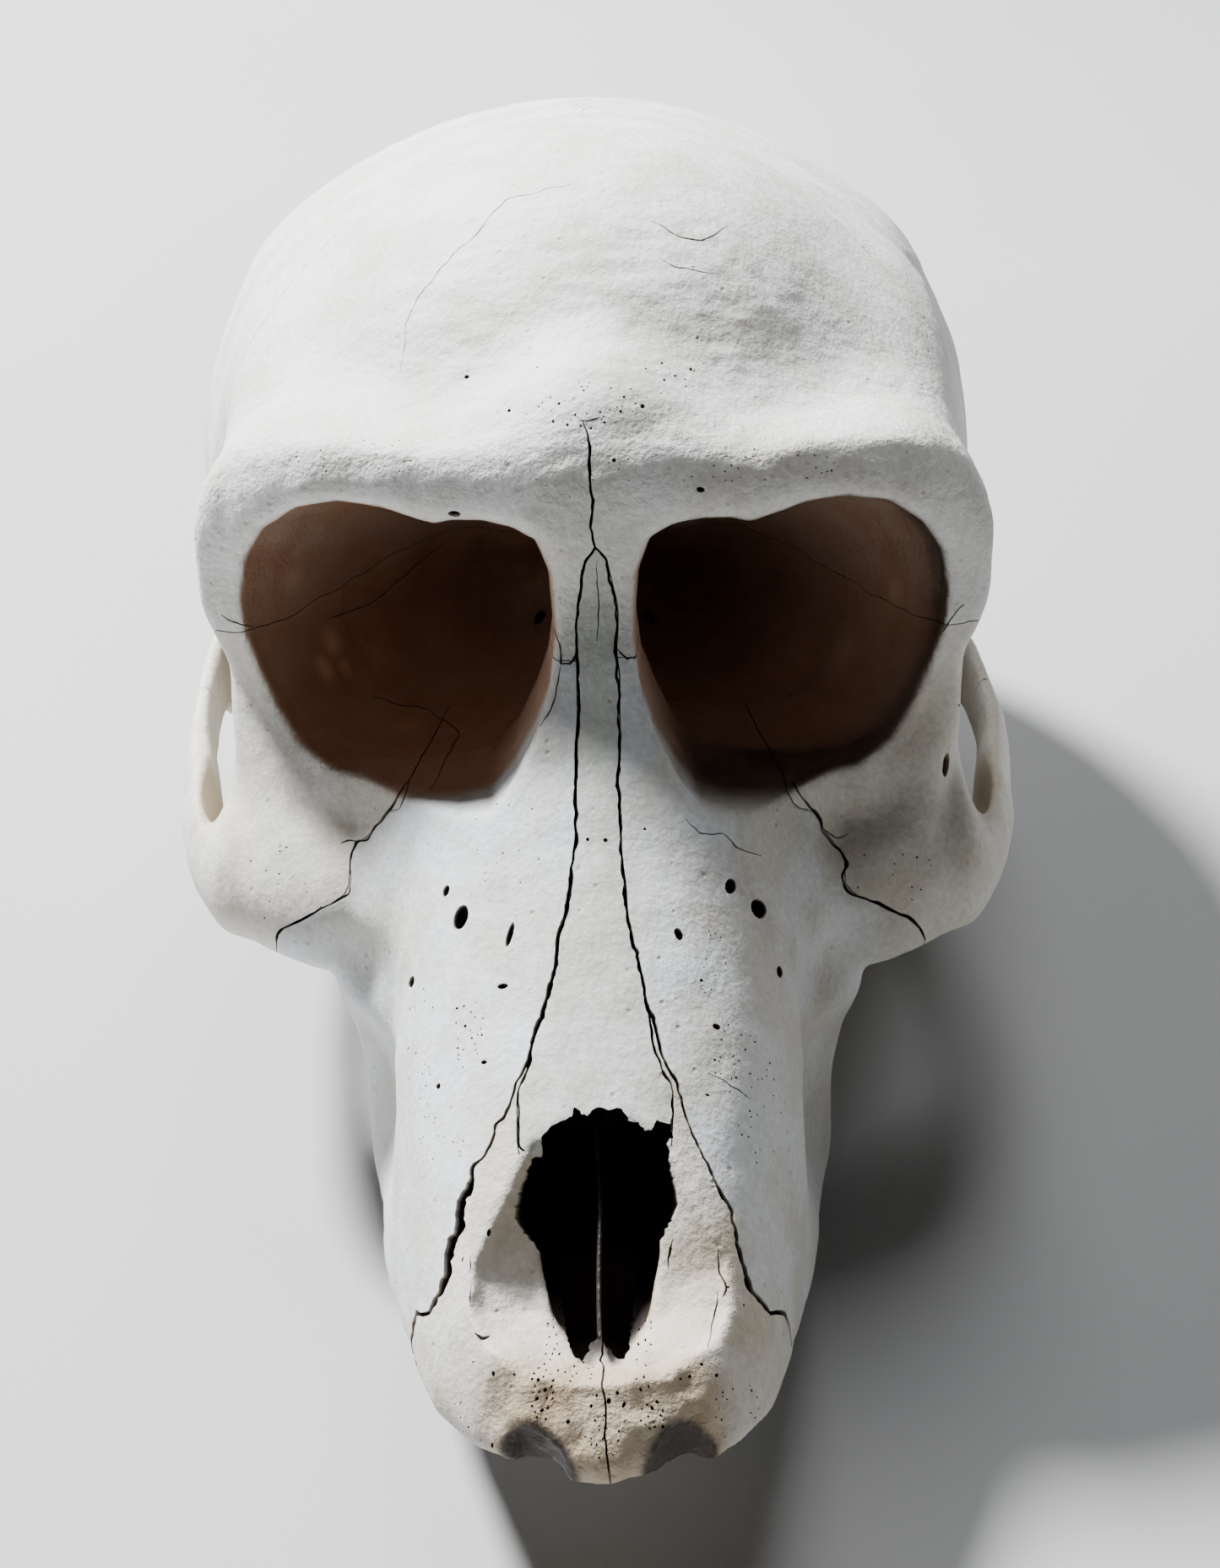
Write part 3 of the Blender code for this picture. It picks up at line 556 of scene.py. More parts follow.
def onBone(pixels):   # where the sight lines through these pixels meet the meshed skull, and their ways
    pixels = np.array(pixels, float)[:, :2]
    place, ways = raysThrough(pixels)
    found = []
    for number, way in enumerate(ways):
        hit = skin["tree"].ray_cast(Vector(place), Vector(way))[0]
        while hit is None:   # just beside the bone: step towards the middle
            pixels[number, 0] += math.copysign(2, photoCamera["size"][0] / 2 - pixels[number, 0])
            ways[number] = raysThrough(pixels[number:number + 1])[1][0]
            hit = skin["tree"].ray_cast(Vector(place), Vector(ways[number]))[0]
        found.append(hit)
    return np.array(found, float), ways


def outwardAt(points):   # outward directions from the field's slope
    step = 0.3
    level = fieldAt(points)
    return unit(np.stack([fieldAt(points + step * axis) - level for axis in np.eye(3)], -1), 1e-9)


# Routes of sutures and cracks, as pixels of the photograph

routeStep = 4.0   # pixels between the points of a route


def wander(count, spacing, size, rng):   # a random walk that stays near 0
    knots = rng.normal(0, size, max(2, int(count / spacing) + 2))
    return np.interp(np.arange(count) / spacing, np.arange(len(knots)), knots)


def routePoints(route, jitter, seed):   # evenly spaced pixels, ragged by about jitter pixels
    route = np.array(route, float)
    lengths = lengthsAlong(route)
    count = max(3, int(lengths[-1] / routeStep) + 1)
    at = np.linspace(0, lengths[-1], count)
    pixels = np.stack([np.interp(at, lengths, route[:, i]) for i in range(2)], -1)
    rng = np.random.default_rng(seed)
    along = np.gradient(smoothRows(pixels, 2), axis=0)
    across = unit(np.stack([-along[:, 1], along[:, 0]], -1), 1e-9)
    ragged = wander(count, 4, 1.0, rng) + wander(count, 1.5, 0.7, rng)
    return pixels + across * (ragged * endShare(count, 4) * jitter)[:, None]


def smoothRows(rows, times):
    rows = np.array(rows, float)
    for _ in range(times):
        middle = (rows[:-2] + 2 * rows[1:-1] + rows[2:]) / 4
        rows = np.vstack([rows[:1], middle, rows[-1:]])
    return rows


# Each point is across, down, and how wide the crack is there, all in pixels

nasalSutures = {
    "left": [
        (705, 649, 2.4), (701, 657, 2.6), (694, 663, 2.6), (690, 682, 2.6), (690, 695, 2.4), (685, 708, 2.4),
        (683, 759, 2.4), (684, 788, 2.4), (685, 848, 2.8), (682, 886, 3.0), (682, 950, 3.0), (683, 982, 3.2),
        (678, 1027, 3.4), (673, 1059, 3.8), (669, 1084, 4.2), (660, 1116, 3.8), (658, 1142, 4.0),
        (652, 1166, 4.6), (645, 1194, 4.4), (641, 1208, 5.0), (633, 1222, 3.6), (629, 1242, 4.0),
    ],
    "right": [
        (705, 649, 2.4), (712, 656, 2.6), (718, 663, 2.6), (722, 682, 2.6), (727, 701, 2.6), (731, 721, 2.4),
        (731, 746, 2.4), (729, 772, 2.6), (733, 797, 2.8), (733, 848, 2.6), (734, 886, 3.0), (731, 925, 3.2),
        (733, 963, 3.2), (734, 988, 3.0), (736, 1014, 3.4), (741, 1052, 3.6), (742, 1078, 3.6),
        (748, 1110, 3.4), (756, 1135, 3.8), (761, 1161, 3.4), (764, 1180, 3.4),
    ],
}
nasalTips = {
    "left": [
        (629, 1242, 3.4), (628, 1254, 3.0), (625, 1267, 2.6), (619, 1279, 2.4), (614, 1291, 2.2),
        (613, 1311, 2.2), (614, 1327, 2.2), (613, 1343, 2.2), (614, 1357, 2.6), (621, 1363, 2.4),
    ],
    "right": [
        (764, 1180, 3.4), (768, 1202, 3.4), (772, 1234, 3.0), (778, 1254, 3.0), (786, 1271, 2.6),
        (794, 1281, 2.4), (796, 1295, 2.2), (796, 1319, 2.2), (795, 1339, 2.6),
    ],
}
snoutSutures = {
    "left": [
        (629, 1242, 3.8), (625, 1254, 3.4), (619, 1267, 3.0), (611, 1283, 2.6), (607, 1299, 2.6),
        (603, 1311, 2.8), (597, 1325, 3.2), (587, 1331, 3.0), (583, 1347, 2.8), (577, 1363, 2.8),
        (571, 1373, 3.0), (561, 1379, 3.6), (557, 1391, 4.6), (555, 1407, 8.6), (547, 1419, 9.2),
        (545, 1439, 9.6), (542, 1455, 9.6), (535, 1471, 9.8), (531, 1492, 10.2), (529, 1512, 11.0),
        (521, 1532, 10.0), (512, 1548, 7.4), (505, 1557, 5.0), (498, 1555, 4.2), (493, 1552, 4.6),
        (490, 1564, 7.0), (488, 1576, 6.4), (486, 1600, 3.6), (484, 1622, 2.0),
    ],
    "right": [
        (764, 1180, 3.6), (768, 1194, 4.8), (774, 1214, 4.6), (780, 1230, 4.2), (786, 1250, 3.4),
        (792, 1267, 3.2), (802, 1283, 3.0), (807, 1299, 2.6), (812, 1319, 2.4), (820, 1339, 2.4),
        (830, 1363, 2.6), (842, 1387, 2.8), (850, 1403, 3.2), (858, 1415, 3.6), (864, 1431, 3.8),
        (870, 1455, 4.2), (874, 1475, 5.4), (880, 1492, 5.6), (882, 1508, 5.8), (888, 1524, 6.0),
        (898, 1540, 5.6), (907, 1548, 5.0), (912, 1558, 4.2), (922, 1555, 3.8), (930, 1555, 3.6),
        (934, 1564, 4.2), (936, 1576, 3.0), (938, 1596, 2.0),
    ],
}
cheekSutures = {
    "left": [
        (482, 925, 2.0), (473, 943, 2.6), (461, 957, 3.0), (454, 966, 2.8), (452, 973, 2.8), (442, 982, 2.6),
        (437, 996, 3.2), (420, 996, 2.4), (420, 1004, 2.2), (416, 1011, 2.0), (414, 1024, 1.6),
        (416, 1042, 0.8), (414, 1059, 1.4), (404, 1064, 2.2), (385, 1073, 2.2), (366, 1084, 2.4),
        (348, 1094, 2.2), (331, 1100, 1.8), (326, 1110, 1.6), (328, 1119, 1.4),
    ],
    "right": [
        (938, 926, 2.0), (949, 944, 2.6), (962, 960, 3.4), (970, 969, 3.6), (975, 982, 3.8), (988, 1001, 3.2),
        (1000, 1011, 3.0), (1004, 1024, 3.4), (997, 1039, 2.4), (1000, 1052, 2.6), (1010, 1059, 2.8),
        (1035, 1068, 3.0), (1055, 1078, 3.0), (1074, 1084, 2.8), (1090, 1097, 2.4), (1096, 1113, 2.0),
    ],
}
fineCracks = {
    "metopic": [
        (690, 497, 0.8), (696, 515, 2.2), (698, 536, 2.6), (697, 548, 2.6), (699, 568, 2.8), (703, 593, 3.0),
        (701, 622, 2.6), (700, 638, 2.6), (705, 649, 2.4),
    ],
    "glabella": [(684, 500, 0.8), (690, 497, 1.8), (696, 502, 2.0), (703, 498, 2.2), (711, 494, 1.2)],
    "browToCheekLeft": [
        (683, 762, 1.8), (682, 778, 2.6), (675, 788, 2.6), (669, 784, 2.4), (664, 788, 2.6), (666, 772, 2.2),
        (662, 756, 2.0), (656, 743, 1.4),
    ],
    "browToCheekRight": [
        (731, 768, 1.8), (739, 778, 2.4), (744, 784, 2.6), (748, 778, 2.2), (752, 784, 2.4), (754, 765, 2.2),
        (756, 752, 1.4),
    ],
    "lacrimalLeft": [(664, 790, 1.8), (660, 804, 2.0), (658, 823, 2.2), (652, 842, 2.2), (640, 860, 1.6)],
    "lacrimalRight": [(755, 786, 1.8), (757, 800, 2.0), (761, 823, 2.2), (771, 848, 2.0), (782, 866, 1.4)],
    "nasalMiddle": [(707, 664, 0.8), (708, 695, 1.6), (710, 727, 1.4), (707, 759, 0.8)],
    "cheekLeftSide": [(424, 997, 1.6), (412, 994, 2.2), (404, 999, 1.4)],
    "cheekRightSide": [(977, 983, 2.2), (991, 992, 2.4), (1004, 988, 1.2)],
    "cheekRightVein": [(812, 969, 1.0), (828, 988, 1.5), (857, 988, 1.4), (870, 1001, 1.5), (902, 1014, 0.9)],
    "snoutRight": [(838, 1270, 0.8), (858, 1280, 1.2), (875, 1291, 1.8), (889, 1302, 0.9)],
    "plateLeftUpper": [(557, 1486, 0.7), (556, 1497, 1.8), (556, 1508, 0.7)],
    "plateLeftMiddle": [(558, 1522, 0.7), (556, 1536, 2.0), (557, 1548, 0.8)],
    "plateLeftLower": [(562, 1578, 0.8), (567, 1584, 4.0), (574, 1587, 5.6), (580, 1582, 2.2)],
    "plateRightUpper": [
        (849, 1472, 0.8), (851, 1496, 2.2), (854, 1514, 2.0), (860, 1530, 3.6), (856, 1536, 1.6),
    ],
    "plateRightLower": [
        (850, 1528, 0.8), (849, 1544, 2.0), (844, 1560, 2.2), (842, 1576, 1.6), (838, 1596, 0.8),
    ],
    "plateRightInner": [(797, 1467, 0.8), (793, 1480, 3.0), (792, 1490, 2.4), (792, 1504, 0.8)],
    "orbitUpper": [(385, 735, 1.2), (410, 726, 1.6), (440, 715, 1.4), (486, 676, 1.2), (530, 640, 0.8)],
    "orbitLower": [
        (440, 825, 1.0), (476, 834, 1.6), (510, 840, 1.8), (545, 870, 1.6), (526, 904, 1.4), (510, 935, 1.0),
    ],
    "pillarLeft": [(262, 728, 1.2), (270, 735, 2.0), (284, 739, 1.8), (300, 742, 1.4)],
    "pillarRight": [(1142, 716, 1.6), (1134, 722, 2.0), (1124, 734, 1.8), (1114, 752, 1.4)],
    "vaultLeft": [
        (680, 217, 0.6), (642, 226, 1.2), (600, 236, 1.2), (578, 258, 1.4), (560, 282, 1.2), (538, 300, 1.4),
        (520, 322, 1.2), (498, 350, 1.2), (480, 382, 1.0), (474, 440, 0.5),
    ],
    "flakeUpper": [
        (772, 262, 0.8), (790, 272, 1.8), (812, 282, 2.2), (832, 284, 2.0), (850, 274, 1.8), (862, 267, 0.8),
    ],
    "flakeLower": [(782, 306, 0.6), (800, 316, 1.6), (824, 320, 1.6), (850, 325, 0.8)],
}
crackShape = {   # millimetres; the lip stands over the bone, mouth and bottom are shares of a crack's width
    "boneGap": 2.6, "tipGap": 1.6, "fine": 0.7, "finest": 0.6, "widen": 1.3, "lip": 0.7, "mouth": 1.15,
    "bottom": 0.45, "uneven": 0.28,
    "sight": 0.7, "bone": 0.3,   # a crack's way in lies between the sight line and the bone's own
}


def tubeFaces(rings, count, first=0):   # a closed tube through rings of count points
    faces = []
    for i in range(rings - 1):
        for j in range(count):
            a, b = first + count * i + j, first + count * i + (j + 1) % count
            faces.append((a, b, b + count, a + count))
    faces.append([first + j for j in range(count)][::-1])
    faces.append([first + count * (rings - 1) + j for j in range(count)])
    return faces


def crackCutter(name, routes, depth, seed):
    shape = crackShape
    points, faces = [], []
    for number, route in enumerate(routes):
        places = [(x, y) for x, y, _ in route]
        pixels = routePoints(places, 1.0, seed + number)
        lengths = lengthsAlong(places)
        wide = np.interp(np.linspace(0, lengths[-1], len(pixels)), lengths, [w for _, _, w in route])
        rng = np.random.default_rng(seed + 100 + number)
        centre, ways = onBone(pixels)
        centre = smoothRows(centre, 1)
        inward = unit(smoothRows(shape["sight"] * ways - shape["bone"] * outwardAt(centre), 6))
        across = unit(np.cross(np.gradient(smoothRows(centre, 8), axis=0), inward), 1e-9)
        reach = np.linalg.norm(centre - cameraAxes()[0], axis=1)
        half = wide / 2 * reach / photoCamera["focal"] * shape["widen"]
        uneven = [np.clip(wander(len(half), 1.6, shape["uneven"], rng), -0.6, 0.8) for _ in range(2)]
        left, right = [half * (1 + share) for share in uneven]
        deep = (depth * (0.35 + 0.65 * endShare(len(half), 3)))[:, None]
        rings = np.stack([
            centre + across * (left * shape["mouth"])[:, None] - inward * shape["lip"],
            centre - across * (right * shape["mouth"])[:, None] - inward * shape["lip"],
            centre - across * (right * shape["bottom"])[:, None] + inward * deep,
            centre + across * (left * shape["bottom"])[:, None] + inward * deep,
        ], axis=1)
        faces += tubeFaces(len(rings), 4, len(points))
        points += rings.reshape(-1, 3).tolist()
    return solidObject(name, points, faces)


def solidObject(name, points, faces, triangles=False):
    thing = newObject(name, newMesh(name, points, faces))
    faceOutwards(thing.data, triangles)
    return thing


def faceOutwards(mesh, triangles=False):
    grid = bmesh.new()
    grid.from_mesh(mesh)
    if triangles:
        bmesh.ops.triangulate(grid, faces=grid.faces)
    bmesh.ops.recalc_face_normals(grid, faces=grid.faces)
    grid.to_mesh(mesh)
    grid.free()


def applyModifiers(thing):
    bpy.context.view_layer.update()
    graph = bpy.context.evaluated_depsgraph_get()
    old = thing.data
    thing.data = bpy.data.meshes.new_from_object(thing.evaluated_get(graph))
    thing.modifiers.clear()
    bpy.data.meshes.remove(old)


# The thin partings between the bones, as sheets of points (millimetres)

partingShape = {
    "level": (
        (-14, 13.2), (-6.9, 13.4), (0, 13.0), (7.6, 12.4), (12, 12.2), (20, 13.5), (31, 17.5), (45, 19),
        (58, 15), (70, 7), (77, 2.5), (79, 1.2),
    ),
    "overshoot": 0.8,
    "reach": 45.0,
    "back": [(75.5, -1.6), (76.2, 1.2), (80, 18), (86, 34), (92, 50), (95, 58)],
    "basal": [(6, 41.5), (9, 46), (12.5, 56), (14, 64), (20, 71), (30, 74.5), (45, 76.5)],
    "wing": [(8.1, 45.6), (14, 38), (22, 34), (30, 31), (42, 30)],
    "palateBack": 18.0,
    "cheekTop": [(12, 8), (15.4, 0.5)],
    "cheekEnd": [(26.6, -14), (27, -20)],
    "cheekShifts": ((-14, 0), (-1, 0), (10, 1.1), (18.6, 1.9)),   # further back, how much nearer the middle
    "sagittal": (34, 3.2, 1.6, 60),   # its front, how far past the lambdoid and below the level, its top
    "coronal": (37, 15, 26, 1.5, 60),   # its place in the middle, how far forward where, its bend and top
    "gap": 0.09,
    "spacing": 0.8,
}


def levelOf(y):
    return np.interp(y, *zip(*partingShape["level"]))


def resample(rows, spacing, axis):
    rows = np.array(rows, float)
    steps = np.linalg.norm(np.diff(rows, axis=axis), axis=2).max(axis=1 - axis)
    at = np.concatenate([[0], np.cumsum(steps)])
    wanted = np.linspace(0, at[-1], max(2, int(at[-1] / spacing) + 2))
    index = np.clip(np.searchsorted(at, wanted, side="right") - 1, 0, len(at) - 2)
    t = ((wanted - at[index]) / np.diff(at)[index]).reshape((-1, 1, 1) if axis == 0 else (1, -1, 1))
    return np.take(rows, index, axis=axis) * (1 - t) + np.take(rows, index + 1, axis=axis) * t


def partingCutter(name, rows, ragged=0.3, cell=2.4, seed=1, leaning=True, gap=None):
    gap = gap or partingShape["gap"]
    rows = resample(resample(rows, partingShape["spacing"], 0), partingShape["spacing"], 1)
    normals = unit(np.cross(np.gradient(rows, axis=0), np.gradient(rows, axis=1)), 1e-9)
    flat = rows.reshape(-1, 3)
    push = ragged * (softNoise(flat, cell, seed) + 0.6 * softNoise(flat, cell * 0.45, seed + 1))
    rows = rows + normals * push.reshape(rows.shape[:2])[..., None]
    if leaning:
        rows[..., 0] += lean(flat).reshape(rows.shape[:2])
    m, n = rows.shape[:2]
    points = np.concatenate([(rows + way * gap / 2).reshape(-1, 3) for way in (normals, -normals)])
    index = np.arange(m * n).reshape(m, n)
    a, b, c, d = index[:-1, :-1], index[1:, :-1], index[1:, 1:], index[:-1, 1:]
    faces = np.stack([a, b, c, d], -1).reshape(-1, 4).tolist()
    faces += (np.stack([a, d, c, b], -1) + m * n).reshape(-1, 4).tolist()
    edge = list(index[0, :-1]) + list(index[:-1, -1]) + list(index[-1, :0:-1]) + list(index[:0:-1, 0])
    for i, j in zip(edge, edge[1:] + edge[:1]):
        faces.append((int(i), int(j), int(j) + m * n, int(i) + m * n))
    return solidObject(name, points.tolist(), faces)


def uprightRows(plan, bottom, top):
    return [[(x, y, bottom) for x, y in plan], [(x, y, top(y)) for x, y in plan]]


snoutCurtain = {
    "across": (2.6, 1.2, 0.0, -1.1, -2.2), "bottom": -42,
    "endAcross": (3.4, 1.2, -1.0, -3.2), "endDown": (0.6, -4, -8, -14),
}


def snoutRows():   # a curtain under the sutures before the muzzle, and one below each of its ends
    curtain = snoutCurtain
    rows, ends = [], []
    for side in ("left", "right"):
        route = [(x, y) for x, y, _ in snoutSutures[side]][:-2]
        pixels = routePoints(route, 0.0, 1)[::2]
        centre = smoothRows(onBone(pixels)[0], 1)
        out = unit(smoothRows(outwardAt(centre), 6))
        part = []
        for place, way in zip(centre, out):
            column = [place + way * step for step in curtain["across"]]
            x, y, z = column[-1]
            below = np.linspace(min(z - 1, -20), curtain["bottom"], 4)
            part.append(column + [(x, y, height) for height in below])
        rows += part[::-1] if side == "left" else part
        last, way = centre[-1], out[-1] * (1, 1, 0) / np.linalg.norm(out[-1][:2])
        ends.append([
            [last + way * step + (0, 0, down) for step in curtain["endAcross"]] for down in curtain["endDown"]
        ])
    return rows, ends


def sagittalRows():   # between the two parietals, from behind the frontal to just past the lambdoid parting
    backY, backZ = zip(*partingShape["back"])
    front, past, below, top = partingShape["sagittal"]
    rows = []

    def backwards(u, z):
        return front + u * (float(np.interp(z, backZ, backY)) + past - front)

    for u in np.linspace(0, 1, 40):
        y = front + 43 * u
        for _ in range(4):   # its lower edge follows the level parting
            low = float(levelOf(y)) - below
            y = backwards(u, low)
        rows.append([(0, backwards(u, z), z) for z in np.linspace(low, top, 30)])
    return rows


def partingCutters():
    shape = partingShape
    over = shape["overshoot"]

    def above(y):
        return float(levelOf(y)) + over

    def acrossRows(line):
        return [[(side * shape["reach"], y, z) for y, z in line] for side in (-1, 1)]

    yield partingCutter("level", acrossRows(shape["level"]), 0.3, 2.2, 11)
    middle, forward, wide, bend, top = shape["coronal"]
    arc = [(x, middle - forward * (abs(x) / wide) ** bend) for x in np.linspace(-40, 40, 33)]
    coronal = [[(x, y, float(levelOf(y)) - over) for x, y in arc], [(x, y, top) for x, y in arc]]
    yield partingCutter("coronal", coronal, 0.7, 2.0, 13)
    yield partingCutter("lambdoid", acrossRows(shape["back"]), 0.9, 1.8, 15)
    yield partingCutter("sagittal", sagittalRows(), 0.8, 1.8, 17)
    wall = [(-x, y) for x, y in shape["basal"][::-1]] + [(0, 41)] + shape["basal"]
    yield partingCutter("basal", uprightRows(wall, -32, above), 0.4, 2.4, 19)
    y = shape["palateBack"]
    yield partingCutter("palateBack", uprightRows([(-30.4, y), (30.4, y)], -42, above), 0.3, 2.4, 21)
    for side in (-1, 1):
        wing = [(side * x, y) for x, y in shape["wing"]]
        yield partingCutter("wing", uprightRows(wing, -30, above), 0.4, 2.4, 23 + side)
        pixels = [(x, y) for x, y, _ in cheekSutures["left" if side < 0 else "right"]][2:]
        face = smoothRows(onBone(pixels)[0], 1)
        line = [(side * x, z) for x, z in shape["cheekTop"]] + [(x, z) for x, _, z in face]
        line += [(side * x, z) for x, z in shape["cheekEnd"]]
        rows = [[(x - side * shift, y, z) for x, z in line] for y, shift in shape["cheekShifts"]]
        yield partingCutter("cheek", rows, 0.06, 2.4, 27 + side)
    snout, ends = snoutRows()
    yield partingCutter("snout", snout, 0.05, 2.4, 31, leaning=False)
    for number, rows in enumerate(ends):
        yield partingCutter("snoutEnd" + str(number), rows, 0.05, 2.4, 35, leaning=False)
    along = np.linspace(18.6, -52, 60)
    middle = [[(0, y, z) for z in np.linspace(-42, above(max(y, -14)), 40)] for y in along]
    yield partingCutter("middle", middle, 0.2, 1.3, 33, gap=0.15)


# The nasal bones are one lofted block between their two sutures

nasalBlock = {"depth": 2.9, "over": 3.6, "gap": 0.09, "rows": 60, "straight": 11, "end": -15.5}
openingEdge = [   # the broken edge of the nose opening, in pixels
    (641, 1369), (641, 1347), (653, 1333), (663, 1329), (677, 1321), (681, 1311), (689, 1319), (697, 1321),
    (704, 1313), (711, 1311), (722, 1315), (731, 1311), (737, 1313), (745, 1327), (756, 1330), (764, 1339),
    (772, 1338), (778, 1327), (794, 1331), (796, 1347), (790, 1351), (798, 1375), (808, 1396), (814, 1415),
    (815, 1430), (806, 1450), (796, 1467), (786, 1484), (774, 1510), (762, 1540), (753, 1566), (747, 1584),
    (745, 1598), (739, 1609), (732, 1611), (724, 1603), (716, 1590), (708, 1584), (700, 1590), (696, 1604),
    (688, 1613), (680, 1606), (672, 1588), (662, 1560), (651, 1530), (640, 1502), (624, 1476), (607, 1458),
    (597, 1442), (600, 1424), (606, 1406), (616, 1386), (628, 1371),
]
openingShape = {
    "reach": (-5.0, 11.0),   # how far the cut runs before and behind the bone, along the sight lines
    "depths": ((1311, 1620), (176.7, 172.6)),   # the bone's distance from the camera, by height in the photo
    "taper": (707, 0.74),   # behind the bone the cut closes in towards this upright line of the photograph
    "taperEnds": (1350, 1400, 1540, 1600),
    "spacing": 3.5, "ragged": 0.9,   # pixels
}


def openingCutter():
    shape = openingShape
    rng = np.random.default_rng(71)
    corners = np.array(openingEdge + openingEdge[:1], float)
    pixels = []
    for start, end in zip(corners[:-1], corners[1:]):
        count = max(1, int(np.linalg.norm(end - start) / shape["spacing"]))
        pixels += [start + (end - start) * k / count for k in range(count)]
    pixels = np.array(pixels) + rng.normal(0, shape["ragged"], (len(pixels), 2))
    depth = np.interp(pixels[:, 1], *shape["depths"])[:, None]
    place, ways = raysThrough(pixels)
    front = place + ways * (depth + shape["reach"][0])
    middle, narrow = shape["taper"]
    top, full, still, end = shape["taperEnds"]
    down = pixels[:, 1]
    squeeze = 1 + (narrow - 1) * fade(down, top, full) * (1 - fade(down, still, end))
    pixels[:, 0] = middle + (pixels[:, 0] - middle) * squeeze
    back = place + raysThrough(pixels)[1] * (depth + shape["reach"][1])
    count = len(pixels)
    faces = [list(range(count)), list(range(count, 2 * count))[::-1]]
    faces += [(i, i + count, (i + 1) % count + count, (i + 1) % count) for i in range(count)]
    return solidObject("openingCut", np.concatenate([front, back]).tolist(), faces, triangles=True)


def nasalBlockObject(name, grow):
    edges = {}
    for side in ("left", "right"):
        route = [(x, y) for x, y, _ in nasalSutures[side] + nasalTips[side][1:]]
        pixels = routePoints(route, 0.0, 1)
        centre = smoothRows(onBone(pixels[:-2])[0], 1)
        centre = np.vstack([centre, centre[-1] + (centre[-1] - centre[-5]) * 1.6])
        heights = np.linspace(centre[0, 2], nasalBlock["end"], nasalBlock["rows"])
        edges[side] = np.stack([np.interp(-heights, -centre[:, 2], centre[:, i]) for i in range(3)], -1)
    left, right = edges["left"], edges["right"]
    middle = (left + right) / 2
    along = np.gradient(smoothRows(middle, 12), axis=0)
    out = unit(np.cross(along, (1.0, 0, 0)))
    out *= np.sign(out[:, 2:])
    straight = nasalBlock["straight"]   # under the brow the rings would cross each other
    out[:straight] = out[straight]
    rings = []
    for i in range(len(left)):
        half = (right[i] - left[i]) / 2
        half = half * (1 + (grow + 0.02) / (np.linalg.norm(half) + 1e-6))
        deep, high = out[i] * (nasalBlock["depth"] + grow), out[i] * nasalBlock["over"]
        near, far = middle[i] - half, middle[i] + half
        rings.append([near + high, near - deep, far - deep, far + high])
    return solidObject(name, np.array(rings).reshape(-1, 3).tolist(), tubeFaces(len(rings), 4))


def boolean(thing, cutter, operation="DIFFERENCE", keepCutter=False):
    before = len(thing.data.vertices)
    change = thing.modifiers.new(cutter.name, "BOOLEAN")
    change.operation = operation
    change.solver = "MANIFOLD"
    change.object = cutter
    applyModifiers(thing)
    if len(thing.data.vertices) == before:
        print("  nothing was cut by", cutter.name)
    if not keepCutter:
        mesh = cutter.data
        bpy.data.objects.remove(cutter)
        bpy.data.meshes.remove(mesh)


# Roughness of the bone's surface: points move along their normals

surfaceShape = {
    "bumps": ((0.10, 6.0, 3), (0.05, 2.0, 4), (0.018, 0.9, 5)),   # how much, how wide (millimetres), seed
    "stipple": (0.07, (1.6, 1.1, 0.75), 6),
    "tipPits": ((0.26, 1.8, 7), (0.17, 0.9, 8)),
    "brow": (17.0, 26.0),
    "temporalLine": [(27.5, 10, 22), (27, 18, 30), (28, 28, 36), (29, 42, 38), (29, 60, 34), (26, 76, 24)],
    "lineStep": 0.16,
}


def tipShare(points):   # 1 on the porous bone between the nose opening and the front sockets
    forward = -points[:, 1]
    run = alongSnout(forward, points[:, 2])[0]
    side = fade(np.abs(points[:, 0]) - 0.12 * (run - 16), 6.0, 9.0)
    return fade(run, 14.0, 17.5) * (1 - side) * fade(forward, 30, 34)


def roughen(points, normals):
    shape = surfaceShape
    x, y, z = points.T
    push = sum(size * softNoise(points, cell, seed) for size, cell, seed in shape["bumps"])
    brow = fade(z, *shape["brow"]) * fade(-y, -16, -8)
    size, cell, seed = shape["stipple"]
    push += size * brow * softNoise(points, cell, seed)
    worn = tipShare(points)
    push += sum(size * worn * softNoise(points, cell, seed) for size, cell, seed in shape["tipPits"])
    line = np.array(shape["temporalLine"], float)
    edge = np.interp(y, line[:, 1], line[:, 2])
    within = fade(y, 8, 14) * (1 - fade(y, 70, 78)) * fade(np.abs(x), 18, 24)
    push -= shape["lineStep"] * within * (1 - fade(z, edge - 1.2, edge + 0.4)) * fade(z, edge - 12, edge - 2)
    return points + normals * push[:, None]


# Which bone each shell is, from a place near its middle, and the finish of each

boneTable = (
    ("frontal", (0, 11.5, 24.9), "vault"),
    ("parietalLeft", (21.5, 54.7, 28.9), "vault"),
    ("parietalRight", (-21.5, 54.7, 28.9), "vault"),
    ("occipital", (0, 74.9, 0.9), "vault"),
    ("temporalLeft", (27.8, 50.9, -4.6), "arch"),
    ("temporalRight", (-27.8, 50.9, -4.6), "arch"),
    ("sphenoid", (0, 25.3, -3.2), "base"),
    ("zygomaticLeft", (26.8, 11.5, -1.1), "arch"),
    ("zygomaticRight", (-26.8, 11.5, -1.1), "arch"),
    ("maxillaLeft", (10, -2.5, -17.4), "face"),
    ("maxillaRight", (-10, -2.5, -17.4), "face"),
    ("premaxillaLeft", (6.2, -33.7, -23.9), "tip"),
    ("premaxillaRight", (-6.2, -33.7, -23.9), "tip"),
    ("nasal", (0, -22, -5), "nasal"),
)
